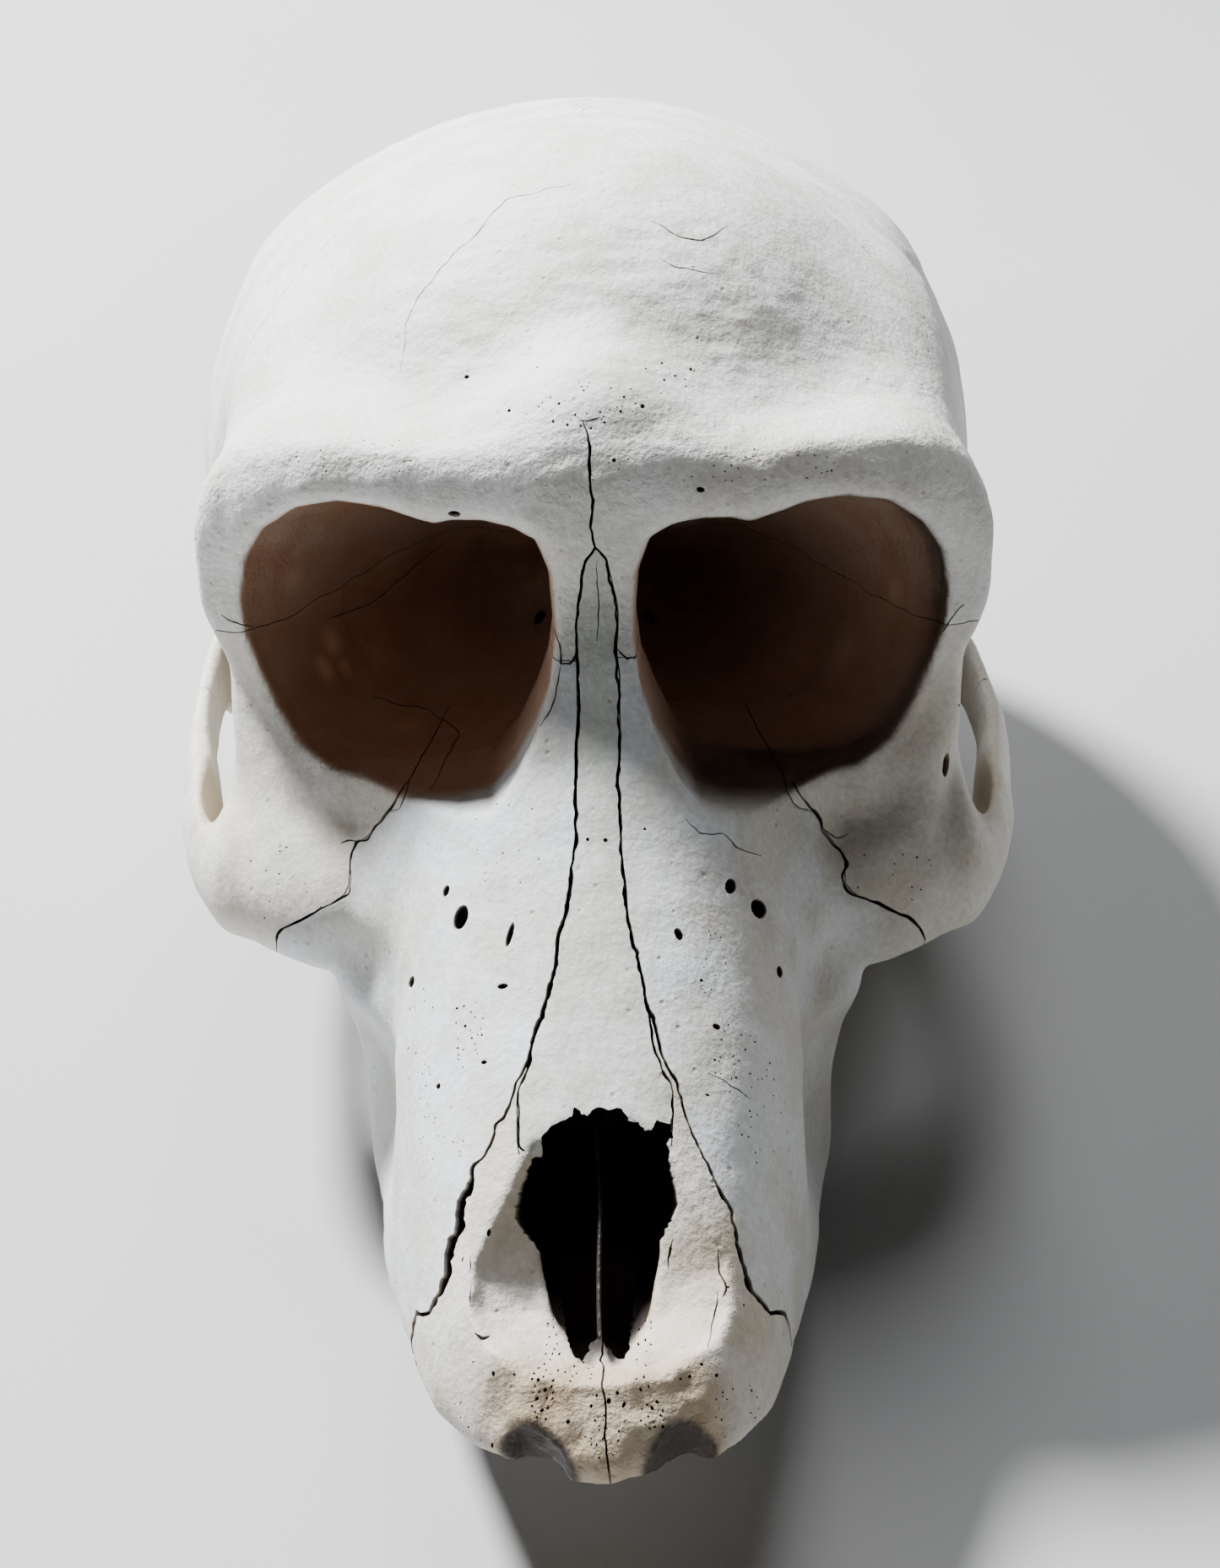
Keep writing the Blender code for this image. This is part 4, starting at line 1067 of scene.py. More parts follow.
nodeOf = {
    "parietalLeft": "parietal_l", "parietalRight": "parietal_r", "temporalLeft": "temporal_l",
    "temporalRight": "temporal_r", "zygomaticLeft": "zygomatic_l", "zygomaticRight": "zygomatic_r",
    "maxillaLeft": "maxilla_l", "maxillaRight": "maxilla_r", "premaxillaLeft": "premaxilla_l",
    "premaxillaRight": "premaxilla_r",
}


bonePoints, scrapPoints = 400, 60   # a shell with fewer points is no bone; smaller scraps are dropped


def looseShells(thing):
    bpy.ops.object.select_all(action="DESELECT")
    thing.select_set(True)
    bpy.context.view_layer.objects.active = thing
    bpy.ops.mesh.separate(type="LOOSE")
    return list(bpy.context.selected_objects)


def partBones(whole):
    shells = looseShells(whole)
    middles = [pointsOf(shell.data).mean(axis=0) for shell in shells]
    sizes = [len(shell.data.vertices) for shell in shells]
    bones = {}
    for name, middle, _ in boneTable:
        if name == "nasal":
            continue
        far = [np.linalg.norm(place - middle) for place in middles]
        far = [reach if size > bonePoints else 1e9 for reach, size in zip(far, sizes)]
        bones[name] = shells[int(np.argmin(far))]
    if len({bone.name for bone in bones.values()}) < len(bones):
        print("  two bones share one shell:", {name: bone.name for name, bone in bones.items()})
    scraps = [found for found in zip(shells, middles, sizes) if found[0] not in bones.values()]
    print("  shells:", len(shells), "scraps:", sorted((size for _, _, size in scraps), reverse=True)[:12])

    def reachOf(name, middle):
        return np.linalg.norm(pointsOf(bones[name].data)[::7] - middle, axis=1).min()

    for shell, middle, size in scraps:
        if size > scrapPoints:
            nearest = min(bones, key=lambda name: reachOf(name, middle))
            print("  scrap of", size, "points at", np.round(middle, 1), "goes to", nearest)
            grid = bmesh.new()
            grid.from_mesh(bones[nearest].data)
            grid.from_mesh(shell.data)
            grid.to_mesh(bones[nearest].data)
            grid.free()
        bpy.data.objects.remove(shell)
    for name, bone in bones.items():
        bone.name = name
        bone.data.name = name
    return bones


# Darker spots, some real stains and some painted shade in the hollows beside the cheeks and on the picture's
# right cheek, and paler patches of painted light in the orbits: place in the photograph, how wide (pixels),
# how strong

stainAndShadeSpots = [
    (590, 1052, 26, 0.55), (566, 1062, 18, 0.45), (616, 1046, 18, 0.35), (560, 1112, 20, 0.3),
    (470, 1108, 22, 0.5), (478, 1150, 20, 0.45), (462, 1200, 18, 0.3), (836, 1030, 34, 0.5),
    (800, 1010, 26, 0.35), (880, 1052, 30, 0.55), (912, 1092, 26, 0.6), (938, 1130, 26, 0.6),
    (965, 1090, 26, 0.5), (975, 1170, 30, 0.6), (950, 1230, 26, 0.5), (955, 1320, 30, 0.4),
    (940, 1420, 30, 0.3), (712, 992, 14, 0.45), (738, 986, 12, 0.4), (600, 1318, 8, 0.4),
    (792, 1300, 14, 0.75), (790, 1325, 12, 0.7), (780, 1270, 9, 0.5), (632, 1262, 9, 0.5),
    (627, 1285, 8, 0.35), (516, 1652, 20, 0.55), (528, 1664, 14, 0.4), (640, 1640, 20, 0.7),
    (648, 1664, 20, 0.7), (668, 1616, 16, 0.5), (768, 1640, 26, 0.4), (800, 1625, 26, 0.35),
    (860, 1650, 34, 0.35), (700, 1740, 34, 0.5), (748, 1735, 22, 0.5), (880, 1600, 30, 0.25),
    (436, 984, 20, 0.3), (990, 1010, 26, 0.35), (640, 500, 40, 0.15), (760, 470, 50, 0.12),
    (340, 1090, 30, 0.35), (300, 1080, 26, 0.25), (1060, 1090, 36, 0.35), (1110, 1100, 22, 0.3),
    (440, 1010, 26, 0.3),
]
orbitLightPatches = [
    (345, 690, 20, 0.6), (352, 655, 14, 0.4), (392, 760, 17, 0.9), (384, 792, 16, 0.9), (408, 790, 12, 0.6),
    (470, 660, 36, 0.35), (540, 640, 30, 0.45), (600, 640, 26, 0.5), (450, 775, 34, 0.25),
    (520, 760, 40, 0.25), (560, 800, 36, 0.15), (480, 860, 26, 0.2), (612, 880, 16, 0.5), (640, 850, 12, 0.5),
    (1000, 770, 22, 0.6), (1062, 700, 16, 0.45), (820, 640, 26, 0.45), (880, 660, 30, 0.25),
    (930, 780, 44, 0.2), (800, 880, 16, 0.45),
]


def spotShare(points, spots):
    centre = onBone([(x, y) for x, y, _, _ in spots])[0]
    reach = np.linalg.norm(centre - cameraAxes()[0], axis=1) / photoCamera["focal"]
    share = np.zeros(len(points))
    for place, size, (_, _, wide, strength) in zip(centre, reach, spots):
        near = np.abs(points[:, 0] - place[0]) < wide * size * 2.6
        gap = np.linalg.norm(points[near] - place, axis=1) / (wide * size)
        share[near] = np.maximum(share[near], strength * np.exp(-gap * gap))
    return share


# Values of each point that the materials read

def addValues(bone):
    mesh = bone.data
    placed, normals = pointsOf(mesh), normalsOf(mesh)
    points = placed.copy()
    points[:, 0] -= lean(points)
    level = fieldAt(points)
    halfPoints = (np.abs(points[:, 0]), points[:, 1], points[:, 2])
    near, far = fieldAt(points + 2.2 * normals), fieldAt(points + 6.5 * normals)
    hollow = 0.5 * np.clip(1 - near / 2.0, 0, 1) + 0.5 * np.clip(1 - far / 5.6, 0, 1)
    cavity = orbitCavity(halfPoints)
    rim = points[:, 1] - np.interp(halfPoints[0], *orbitShape["rimPlane"])
    inOrbit = (1 - fade(cavity, 0.05, 0.35)) * fade(rim, -6, -3)
    forward = -points[:, 1]
    # painted shadow: near black inside the nose chamber and in the empty tooth sockets
    noseShadow = fade(-muzzle(halfPoints), 0.45, 1.3) * (1 - fade(halfPoints[0], 6.5, 8)) * fade(forward, 8, 14)
    noseShadow *= fade(points[:, 2], -30.5, -29)
    sockets = np.min([ellipsoid(halfPoints, *socket) for socket in emptySockets], axis=0)
    socketShadow = 1 - fade(sockets, 0.3, 0.85)
    # the vomer is wholly painted shadow
    if bone.name.startswith("vomer"):
        noseShadow = np.full(len(points), 0.985)
    brow = fade(points[:, 2], 13, 18) * (1 - fade(points[:, 2], 27, 33)) * fade(forward, -14, -6)
    values = {
        "depth": np.clip((-level - 0.16) / 1.2, 0, 1),
        "hollow": hollow,
        "orbit": inOrbit,
        "nose": np.maximum(noseShadow, 0.95 * socketShadow),
        "tip": tipShare(points),
        # painted shade: the face darker towards the picture's right side
        "side": fade(points[:, 0], 2, 15) * fade(forward, -12, 2),
        "rough": np.maximum(brow, tipShare(points)),
        "stainAndShade": spotShare(placed, stainAndShadeSpots),
        "litPatch": spotShare(placed, orbitLightPatches),
    }
    for name, numbers in values.items():
        layer = mesh.attributes.new(name, "FLOAT", "POINT")
        layer.data.foreach_set("value", numbers.astype(np.float32))


# Node trees of the materials

def newSocket(tree, name, kind, default=None, out=False):
    socket = tree.interface.new_socket(name=name, in_out="OUTPUT" if out else "INPUT", socket_type=kind)
    if default is not None:
        socket.default_value = default
    return socket


def feed(tree, sockets, values):   # each value is a number, a colour or another node's output
    for socket, value in zip(sockets, values):
        if isinstance(value, bpy.types.NodeSocket):
            tree.links.new(value, socket)
        else:
            socket.default_value = value


def addNode(tree, kind, place, settings=None, inputs=None):
    node = tree.nodes.new(kind)
    node.location = (place[0] * 200, -place[1] * 160)
    for name, value in (settings or {}).items():
        setattr(node, name, value)
    feed(tree, [node.inputs[name] for name in inputs or {}], (inputs or {}).values())
    return node


def mathNode(tree, place, operation, *values):
    node = addNode(tree, "ShaderNodeMath", place, {"operation": operation})
    feed(tree, node.inputs, values)
    return node.outputs[0]


def rangeNode(tree, place, value, low, high, start=0.0, end=1.0):
    return addNode(tree, "ShaderNodeMapRange", place, {"interpolation_type": "SMOOTHSTEP"}, {
        "Value": value, "From Min": low, "From Max": high, "To Min": start, "To Max": end,
    }).outputs["Result"]


def mixColours(tree, place, share, first, second, blend="MIX"):
    settings = {"data_type": "RGBA", "blend_type": blend, "clamp_factor": True}
    node = addNode(tree, "ShaderNodeMix", place, settings)
    feed(tree, [socket for socket in node.inputs if socket.enabled], (share, first, second))
    return next(socket for socket in node.outputs if socket.enabled)


def attributeNode(tree, place, name):
    return addNode(tree, "ShaderNodeAttribute", place, {"attribute_name": name}).outputs["Fac"]


def greyNode(tree, place, value):
    parts = dict.fromkeys(("Red", "Green", "Blue"), value)
    return addNode(tree, "ShaderNodeCombineColor", place, inputs=parts).outputs[0]


def noiseNode(tree, place, vector, cell, detail=3.0, roughness=0.55):   # cell in millimetres
    return addNode(tree, "ShaderNodeTexNoise", place, {"normalize": True}, {
        "Vector": vector, "Scale": 1000.0 / cell, "Detail": detail, "Roughness": roughness,
    }).outputs["Fac"]


def boneGrainGroup():   # fine relief and mottling of bone, from places in metres
    tree = bpy.data.node_groups.new("boneGrain", "ShaderNodeTree")
    for name, default in (("Stipple", 1.0), ("Pores", 1.0), ("Streaks", 0.5), ("Rough", 0.0)):
        newSocket(tree, name, "NodeSocketFloat", default)
    for name in ("Height", "Fine", "Broad", "Pits"):
        newSocket(tree, name, "NodeSocketFloat", out=True)
    given = addNode(tree, "NodeGroupInput", (-6, 0)).outputs
    where = addNode(tree, "ShaderNodeTexCoord", (-6, 3)).outputs["Object"]
    stretched = addNode(tree, "ShaderNodeMapping", (-5, 4), inputs={
        "Vector": where, "Scale": (1.0, 0.45, 0.6)}).outputs[0]
    fine = noiseNode(tree, (-4, 0), where, 0.55, 4.0, 0.6)
    broad = noiseNode(tree, (-4, 2), where, 7.0, 4.0, 0.55)
    streaks = noiseNode(tree, (-4, 4), stretched, 1.4, 3.0, 0.6)
    cells = addNode(tree, "ShaderNodeTexVoronoi", (-4, 6), {"feature": "F1"}, {
        "Vector": where, "Scale": 1000.0 / 1.15, "Randomness": 1.0,
    })
    chance = addNode(tree, "ShaderNodeSeparateColor", (-3, 7), inputs={
        "Color": cells.outputs["Color"]}).outputs[0]
    least = mathNode(tree, (-3, 8), "MULTIPLY_ADD", given["Rough"], -0.3, 0.88)
    few = mathNode(tree, (-2, 7), "GREATER_THAN", chance, least)
    hole = rangeNode(tree, (-3, 6), cells.outputs["Distance"], 0.06, 0.24, 1.0, 0.0)
    pits = mathNode(tree, (-1, 6), "MULTIPLY", hole, few)
    grainy = mathNode(tree, (-4, -1), "MULTIPLY_ADD", given["Rough"], 1.6, given["Stipple"])
    height = mathNode(tree, (-2, 0), "MULTIPLY", mathNode(tree, (-3, 0), "SUBTRACT", fine, 0.5), grainy)
    lines = mathNode(tree, (-3, 3), "SUBTRACT", streaks, 0.5)
    lines = mathNode(tree, (-2, 3), "MULTIPLY", lines, given["Streaks"])
    dents = mathNode(tree, (0, 6), "MULTIPLY", pits, given["Pores"])
    height = mathNode(tree, (-1, 1), "ADD", height, lines)
    height = mathNode(tree, (0, 1), "SUBTRACT", height, dents)
    addNode(tree, "NodeGroupOutput", (2, 0), inputs={
        "Height": height, "Fine": fine, "Broad": broad, "Pits": pits})
    return tree


def boneStainGroup():   # bone's colour: clean where it was rubbed, brown in cracks and pits, painted shade and light in the orbits, painted shadow in the nose
    tree = bpy.data.node_groups.new("boneStain", "ShaderNodeTree")
    for name in ("Clean", "Shade", "Warm", "CrackAndDeepShade", "Socket"):
        newSocket(tree, name, "NodeSocketColor", (0.5, 0.5, 0.5, 1))
    for name in ("Fine", "Broad", "Pits", "Age"):
        newSocket(tree, name, "NodeSocketFloat", 0.5)
    newSocket(tree, "Color", "NodeSocketColor", out=True)
    newSocket(tree, "Roughness", "NodeSocketFloat", out=True)
    given = addNode(tree, "NodeGroupInput", (-8, 0)).outputs
    marks = ("depth", "hollow", "orbit", "nose", "tip", "side", "stainAndShade", "litPatch")
    read = {}
    for row, name in enumerate(marks):
        read[name] = attributeNode(tree, (-8, 3 + row), name)

    def varied(row, mark, pattern, low, high, least):   # a mark, weaker where the pattern is high
        share = rangeNode(tree, (-5, row), given[pattern], low, high, 1.0, least)
        return mathNode(tree, (-4, row), "MULTIPLY", read[mark], share)

    # broad mottling of the bone's tone, plus painted shade towards the picture's right side
    cloud = rangeNode(tree, (-6, 1), given["Broad"], 0.38, 0.66)
    cloud = mathNode(tree, (-6, 0), "MULTIPLY_ADD", read["side"], 0.55, cloud)
    cloud = mathNode(tree, (-6, -1), "MULTIPLY", cloud, 0.8)
    colour = mixColours(tree, (-5, 0), cloud, given["Clean"], given["Shade"])
    speck = greyNode(tree, (-5, 2), rangeNode(tree, (-6, 2), given["Fine"], 0.30, 0.72, 0.86, 1.06))
    colour = mixColours(tree, (-4, 0), 1.0, colour, speck, "MULTIPLY")
    # darker, warmer brown where the surface is enclosed by bone around it
    edge = rangeNode(tree, (-6, 4), read["hollow"], 0.30, 0.80)
    edge = mathNode(tree, (-5, 4), "MULTIPLY", edge, given["Age"])
    colour = mixColours(tree, (-3, 1), edge, colour, given["Warm"])
    pits = mathNode(tree, (-3, 3), "MULTIPLY", given["Pits"], 0.45)
    colour = mixColours(tree, (-2, 1), pits, colour, given["Warm"])
    colour = mixColours(tree, (-1, 1), varied(6, "tip", "Broad", 0.3, 0.6, 0.65), colour, tipColour)
    # darker spots: real stains, and painted shade in the hollows beside the cheeks and on the picture's right
    # cheek
    colour = mixColours(tree, (-1, 2), varied(9, "stainAndShade", "Fine", 0.25, 0.6, 0.55), colour, given["Warm"])
    # painted light: paler tan patches inside the orbits
    litPatch = varied(10, "litPatch", "Broad", 0.3, 0.6, 0.5)
    inside = mixColours(tree, (-1, 3), litPatch, given["Socket"], orbitLightColour)
    # painted shade: the orbits' inside darker towards the picture's right side
    orbitSideShade = greyNode(tree, (-2, 4), rangeNode(tree, (-2, 5), read["side"], 0.0, 0.6, 1.0, 0.2))
    inside = mixColours(tree, (-1, 4), 1.0, inside, orbitSideShade, "MULTIPLY")
    # the orbits' inside: partly the bone's own brown, partly painted shade
    colour = mixColours(tree, (0, 1), varied(7, "orbit", "Broad", 0.34, 0.66, 0.85), colour, inside)
    # painted shadow: near black in the nose chamber, on the vomer and in the empty tooth sockets
    colour = mixColours(tree, (1, 1), read["nose"], colour, paintedShadowColour)
    # cracks and sutures brown with dirt, and painted shade darker deeper inside holes and on the nose
    # opening's walls
    deep = rangeNode(tree, (-4, 8), read["depth"], 0.02, 0.55)
    colour = mixColours(tree, (2, 1), deep, colour, given["CrackAndDeepShade"])
    rough = rangeNode(tree, (0, 3), given["Fine"], 0.3, 0.7, 0.50, 0.68)
    addNode(tree, "NodeGroupOutput", (4, 0), inputs={"Color": colour, "Roughness": rough})
    return tree


# brown of dirt in cracks, also painted shade deeper in holes and on the nose opening's walls
crackAndDepthShadeColour = (0.040, 0.020, 0.011, 1)
# the orbits' inside: the bone's own brown, made darker as painted shade
orbitBrownAndShadeColour = (0.40, 0.235, 0.15, 1)
# painted light: paler tan where light falls inside the orbits
orbitLightColour = (0.80, 0.55, 0.38, 1)
# painted shadow colour for the nose chamber, the vomer and the empty tooth sockets
paintedShadowColour = (0.014, 0.009, 0.007, 1)
tipColour = (0.38, 0.28, 0.175, 1)
reliefDepth = 0.0004   # metres
floorShades = (0.40, 0.43)
# Shade is the colour of the broad mottling and of the painted shade on the picture's right side
boneFinishes = {
    "vault": {
        "Clean": (0.78, 0.78, 0.76, 1), "Shade": (0.64, 0.62, 0.57, 1), "Warm": (0.36, 0.28, 0.19, 1),
        "Age": 0.5, "Stipple": 1.0, "Pores": 0.6, "Streaks": 0.5, "relief": 0.30,
    },
    "face": {
        "Clean": (0.66, 0.685, 0.71, 1), "Shade": (0.55, 0.53, 0.47, 1), "Warm": (0.30, 0.22, 0.14, 1),
        "Age": 0.7, "Stipple": 0.9, "Pores": 1.0, "Streaks": 0.6, "relief": 0.28,
    },
    "base": {
        "Clean": (0.60, 0.56, 0.48, 1), "Shade": (0.46, 0.39, 0.29, 1), "Warm": (0.22, 0.15, 0.09, 1),
        "Age": 0.9, "Stipple": 1.0, "Pores": 1.0, "Streaks": 0.6, "relief": 0.30,
    },
    "arch": {
        "Clean": (0.72, 0.70, 0.64, 1), "Shade": (0.62, 0.58, 0.49, 1), "Warm": (0.34, 0.26, 0.17, 1),
        "Age": 0.6, "Stipple": 0.8, "Pores": 0.7, "Streaks": 0.8, "relief": 0.25,
    },
    "nasal": {
        "Clean": (0.57, 0.60, 0.555, 1), "Shade": (0.47, 0.475, 0.42, 1), "Warm": (0.26, 0.19, 0.12, 1),
        "Age": 0.8, "Stipple": 0.9, "Pores": 0.7, "Streaks": 0.9, "relief": 0.25,
    },
    "tip": {
        "Clean": (0.64, 0.62, 0.57, 1), "Shade": (0.50, 0.44, 0.34, 1), "Warm": (0.34, 0.24, 0.14, 1),
        "Age": 0.9, "Stipple": 1.1, "Pores": 1.3, "Streaks": 0.6, "relief": 0.35,
    },
}


def newMaterial(name):
    material = bpy.data.materials.new(name)
    material.use_nodes = True
    return material, material.node_tree, material.node_tree.nodes["Principled BSDF"].inputs


def boneMaterial(slot, grain, stainAndShade):
    finish = boneFinishes[slot]
    material, tree, surface = newMaterial(slot + "Bone")
    rough = attributeNode(tree, (-6, 2), "rough")
    amounts = {name: finish[name] for name in ("Stipple", "Pores", "Streaks")}
    amounts["Rough"] = rough
    relief = addNode(tree, "ShaderNodeGroup", (-5, 2), {"node_tree": grain}, amounts).outputs
    colours = {name: finish[name] for name in ("Clean", "Shade", "Warm", "Age")}
    colours.update({"CrackAndDeepShade": crackAndDepthShadeColour, "Socket": orbitBrownAndShadeColour})
    colours.update({name: relief[name] for name in ("Fine", "Broad", "Pits")})
    paint = addNode(tree, "ShaderNodeGroup", (-3, 0), {"node_tree": stainAndShade}, colours).outputs
    bump = addNode(tree, "ShaderNodeBump", (-3, 4), inputs={
        "Strength": finish["relief"], "Distance": reliefDepth, "Height": relief["Height"]})
    feed(tree, [surface[name] for name in ("Base Color", "Roughness", "Normal")],
         (paint["Color"], paint["Roughness"], bump.outputs["Normal"]))
    surface["Specular IOR Level"].default_value = 0.35
    return material


def floorMaterial():
    material, tree, surface = newMaterial("paleFloor")
    where = addNode(tree, "ShaderNodeTexCoord", (-5, 0)).outputs["Object"]
    pattern = {"Vector": where, "Scale": 6.0, "Detail": 2.0}
    cloud = addNode(tree, "ShaderNodeTexNoise", (-4, 0), inputs=pattern)
    shade = greyNode(tree, (-2, 0), rangeNode(tree, (-3, 0), cloud.outputs["Fac"], 0.3, 0.7, *floorShades))
    tree.links.new(shade, surface["Base Color"])
    surface["Roughness"].default_value = 0.9
    return material


# Camera, lights and floor

lightTable = {   # place in metres, size, power, colour
    "keyLight": ((-0.36, 0.36, 0.66), 0.14, 34.0, (0.98, 0.99, 1.0)),
    "topLight": ((0.04, 0.38, 0.78), 0.35, 4.5, (0.95, 0.97, 1.0)),
    "fillLight": ((-0.45, -0.75, 0.40), 0.60, 0.4, (1.0, 0.97, 0.94)),
}


floorReach = 3.0   # metres
lightAim = (0, 0, 0.04)
roomLight = {"colour": (0.95, 0.97, 1.0, 1), "strength": 0.03}


def addCamera():
    data = bpy.data.cameras.new("camera")
    height = photoCamera["size"][1]
    data.sensor_fit = "AUTO"
    data.sensor_width = photoCamera["sensor"]
    data.lens = photoCamera["sensor"] * photoCamera["focal"] / height
    data.clip_start = 0.01
    data.clip_end = 20
    place, right, up, back = cameraAxes()
    turn = toFloor.to_3x3() @ Matrix((right, up, back)).transposed()
    camera = bpy.data.objects.new("camera", data)
    camera.matrix_world = Matrix.Translation(toFloor @ Vector(place) * mm) @ turn.to_4x4()
    bpy.context.scene.collection.objects.link(camera)
    bpy.context.scene.camera = camera


def addLights():
    for name, (place, size, power, colour) in lightTable.items():
        data = bpy.data.lights.new(name, "AREA")
        data.shape = "DISK"
        data.size = size
        data.energy = power
        data.color = colour
        light = bpy.data.objects.new(name, data)
        light.location = place
        light.rotation_euler = (Vector(lightAim) - Vector(place)).to_track_quat("-Z", "Y").to_euler()
        bpy.context.scene.collection.objects.link(light)
    world = bpy.data.worlds.new("softRoom")
    world.use_nodes = True
    background = world.node_tree.nodes["Background"].inputs
    background["Color"].default_value = roomLight["colour"]
    background["Strength"].default_value = roomLight["strength"]
    bpy.context.scene.world = world


def addFloor():
    corners = [(x * floorReach, y * floorReach, 0) for x, y in ((-1, -1), (1, -1), (1, 1), (-1, 1))]
    floor = newObject("floor", newMesh("floor", corners, [(0, 1, 2, 3)]))
    floor.data.materials.append(floorMaterial())


# The vomer: a thin upright plate in the nose

vomerShape = {
    "outline": [
        (-9.5, -21.5), (-9.5, -1.5), (-20.6, -9.6), (-31, -18.8), (-40, -25.4), (-39, -26.0), (-30, -25),
        (-20, -24),
    ],
    "thickness": 0.32, "voxel": 0.25,
    "wave": 0.2, "waveCell": (40, 9, 8),
}


def vomerObject():
    corners = vomerShape["outline"]
    thing = newObject("vomer", newMesh("vomer", [(0, y, z) for y, z in corners], [list(range(len(corners)))]))
    solid = thing.modifiers.new("thickness", "SOLIDIFY")
    solid.thickness = vomerShape["thickness"]
    solid.offset = 0
    remesh = thing.modifiers.new("grain", "REMESH")
    remesh.mode = "VOXEL"
    remesh.voxel_size = vomerShape["voxel"]
    applyModifiers(thing)
    points = pointsOf(thing.data)
    points[:, 0] += vomerShape["wave"] * softNoise(points, vomerShape["waveCell"], 51)
    movePoints(thing.data, points)
    return thing


def makeSkull():
    axes, values = sampleSkull(meshStep)
    points, quads = meshField(axes, values, meshStep)
    whole = newObject("skull", newMesh("skull", points, quads.tolist()))
    faceOutwards(whole.data)
    moved = roughen(pointsOf(whole.data), normalsOf(whole.data))
    moved[:, 0] += lean(moved)
    movePoints(whole.data, moved)
    bpy.context.view_layer.update()
    skin["tree"] = BVHTree.FromObject(whole, bpy.context.evaluated_depsgraph_get())
    print("skull meshed:", len(moved), "points")
    return whole


crackGroups = (   # cut one group after the other, because cracks that meet can't be in one cutter
    ([nasalSutures["left"], cheekSutures["left"], cheekSutures["right"]], "boneGap"),
    ([nasalSutures["right"]], "boneGap"),
    ([snoutSutures["left"], snoutSutures["right"], fineCracks["metopic"]], "boneGap"),
    ([nasalTips["left"], nasalTips["right"]], "tipGap"),
    ([fineCracks[name] for name in (
        "glabella", "browToCheekLeft", "browToCheekRight", "nasalMiddle", "cheekLeftSide", "cheekRightSide",
        "cheekRightVein", "snoutRight", "plateLeftUpper", "plateLeftLower", "plateRightUpper",
        "plateRightInner", "pillarLeft", "pillarRight", "flakeUpper", "flakeLower", "orbitUpper",
        "orbitLower",
    )], "fine"),
    ([fineCracks[name] for name in (
        "lacrimalLeft", "lacrimalRight", "plateLeftMiddle", "plateRightLower", "vaultLeft",
    )], "finest"),
)


def finishBone(bone, slot, material, nodes):
    mesh = bone.data
    mesh.validate()
    addValues(bone)
    mesh.materials.clear()
    mesh.materials.append(material)
    mesh.transform(toFloor)
    mesh.transform(Matrix.Scale(mm, 4))
    placed = pointsOf(mesh)
    placed[:, 2] = np.maximum(placed[:, 2], 0)
    movePoints(mesh, placed)
    mesh.shade_smooth()
    mesh.set_sharp_from_angle(angle=math.radians(50))
    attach(bone, "root")
    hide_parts(*nodes)


# Holes for nerves and small pits: place in the photograph, width, and height and turn where they differ

def fullHole(x, y, width, height=None, turn=0):   # pixels and degrees
    return x, y, width, height or width, turn


bigHoles = [fullHole(*hole) for hole in (
    (528, 1055, 5.5, 9, 15), (545, 1086, 11, 19, 16), (604, 1106, 4.5, 19, 14), (595, 1168, 8, 4, -8),
    (487, 1163, 6, 9, 10), (866, 1049, 9, 12, 10), (900, 1076, 15, 13, 60), (804, 1106, 6, 10, -25),
    (924, 1151, 6, 9), (849, 1216, 6, 4.5, 20), (538, 609, 9, 5), (830, 580, 6, 4, 10), (640, 731, 9, 14, 10),
    (768, 731, 9, 14, -10), (1121, 906, 7, 17, 5),
)]
smallHoles = [fullHole(*hole) for hole in (
    (831, 1161, 4, 3), (588, 952, 2.5), (764, 982, 3), (717, 995, 4), (696, 994, 3.5), (603, 486, 3.5),
    (662, 478, 3), (761, 481, 4.5), (739, 470, 2.5), (727, 545, 4), (655, 499, 3), (672, 503, 3),
    (681, 491, 2.5), (688, 504, 2.5), (700, 507, 2.5), (716, 500, 2.5), (711, 488, 2.2), (735, 487, 3),
    (553, 446, 5, 4), (787, 450, 3), (636, 435, 2.2), (784, 430, 2.5), (800, 445, 2.5), (818, 437, 3.5),
    (826, 400, 2.2), (765, 437, 2.2), (1136, 835, 3), (551, 1215, 3), (541, 1194, 3, 2.5), (573, 1258, 6, 4),
    (519, 1286, 5, 6), (847, 1255, 3, 2.5), (875, 1256, 2.4), (838, 1297, 4, 2.4, 20), (872, 1276, 2.5),
    (889, 1272, 2.2), (579, 1460, 4, 8, 10), (584, 1627, 3.2, 4.5), (560, 1613, 2.2), (609, 1628, 2.4),
    (817, 1630, 3.6), (831, 1616, 3.2), (849, 1629, 3.6), (806, 1633, 2.4), (862, 1524, 3), (881, 1545, 2.2),
    (721, 1659, 4, 5.5, 10), (731, 1650, 3.4), (739, 1664, 3.4, 6, 20), (673, 1684, 4), (583, 1712, 3, 6, 5),
    (700, 1665, 3, 4), (548, 1492, 2.2, 5, 10),
)]
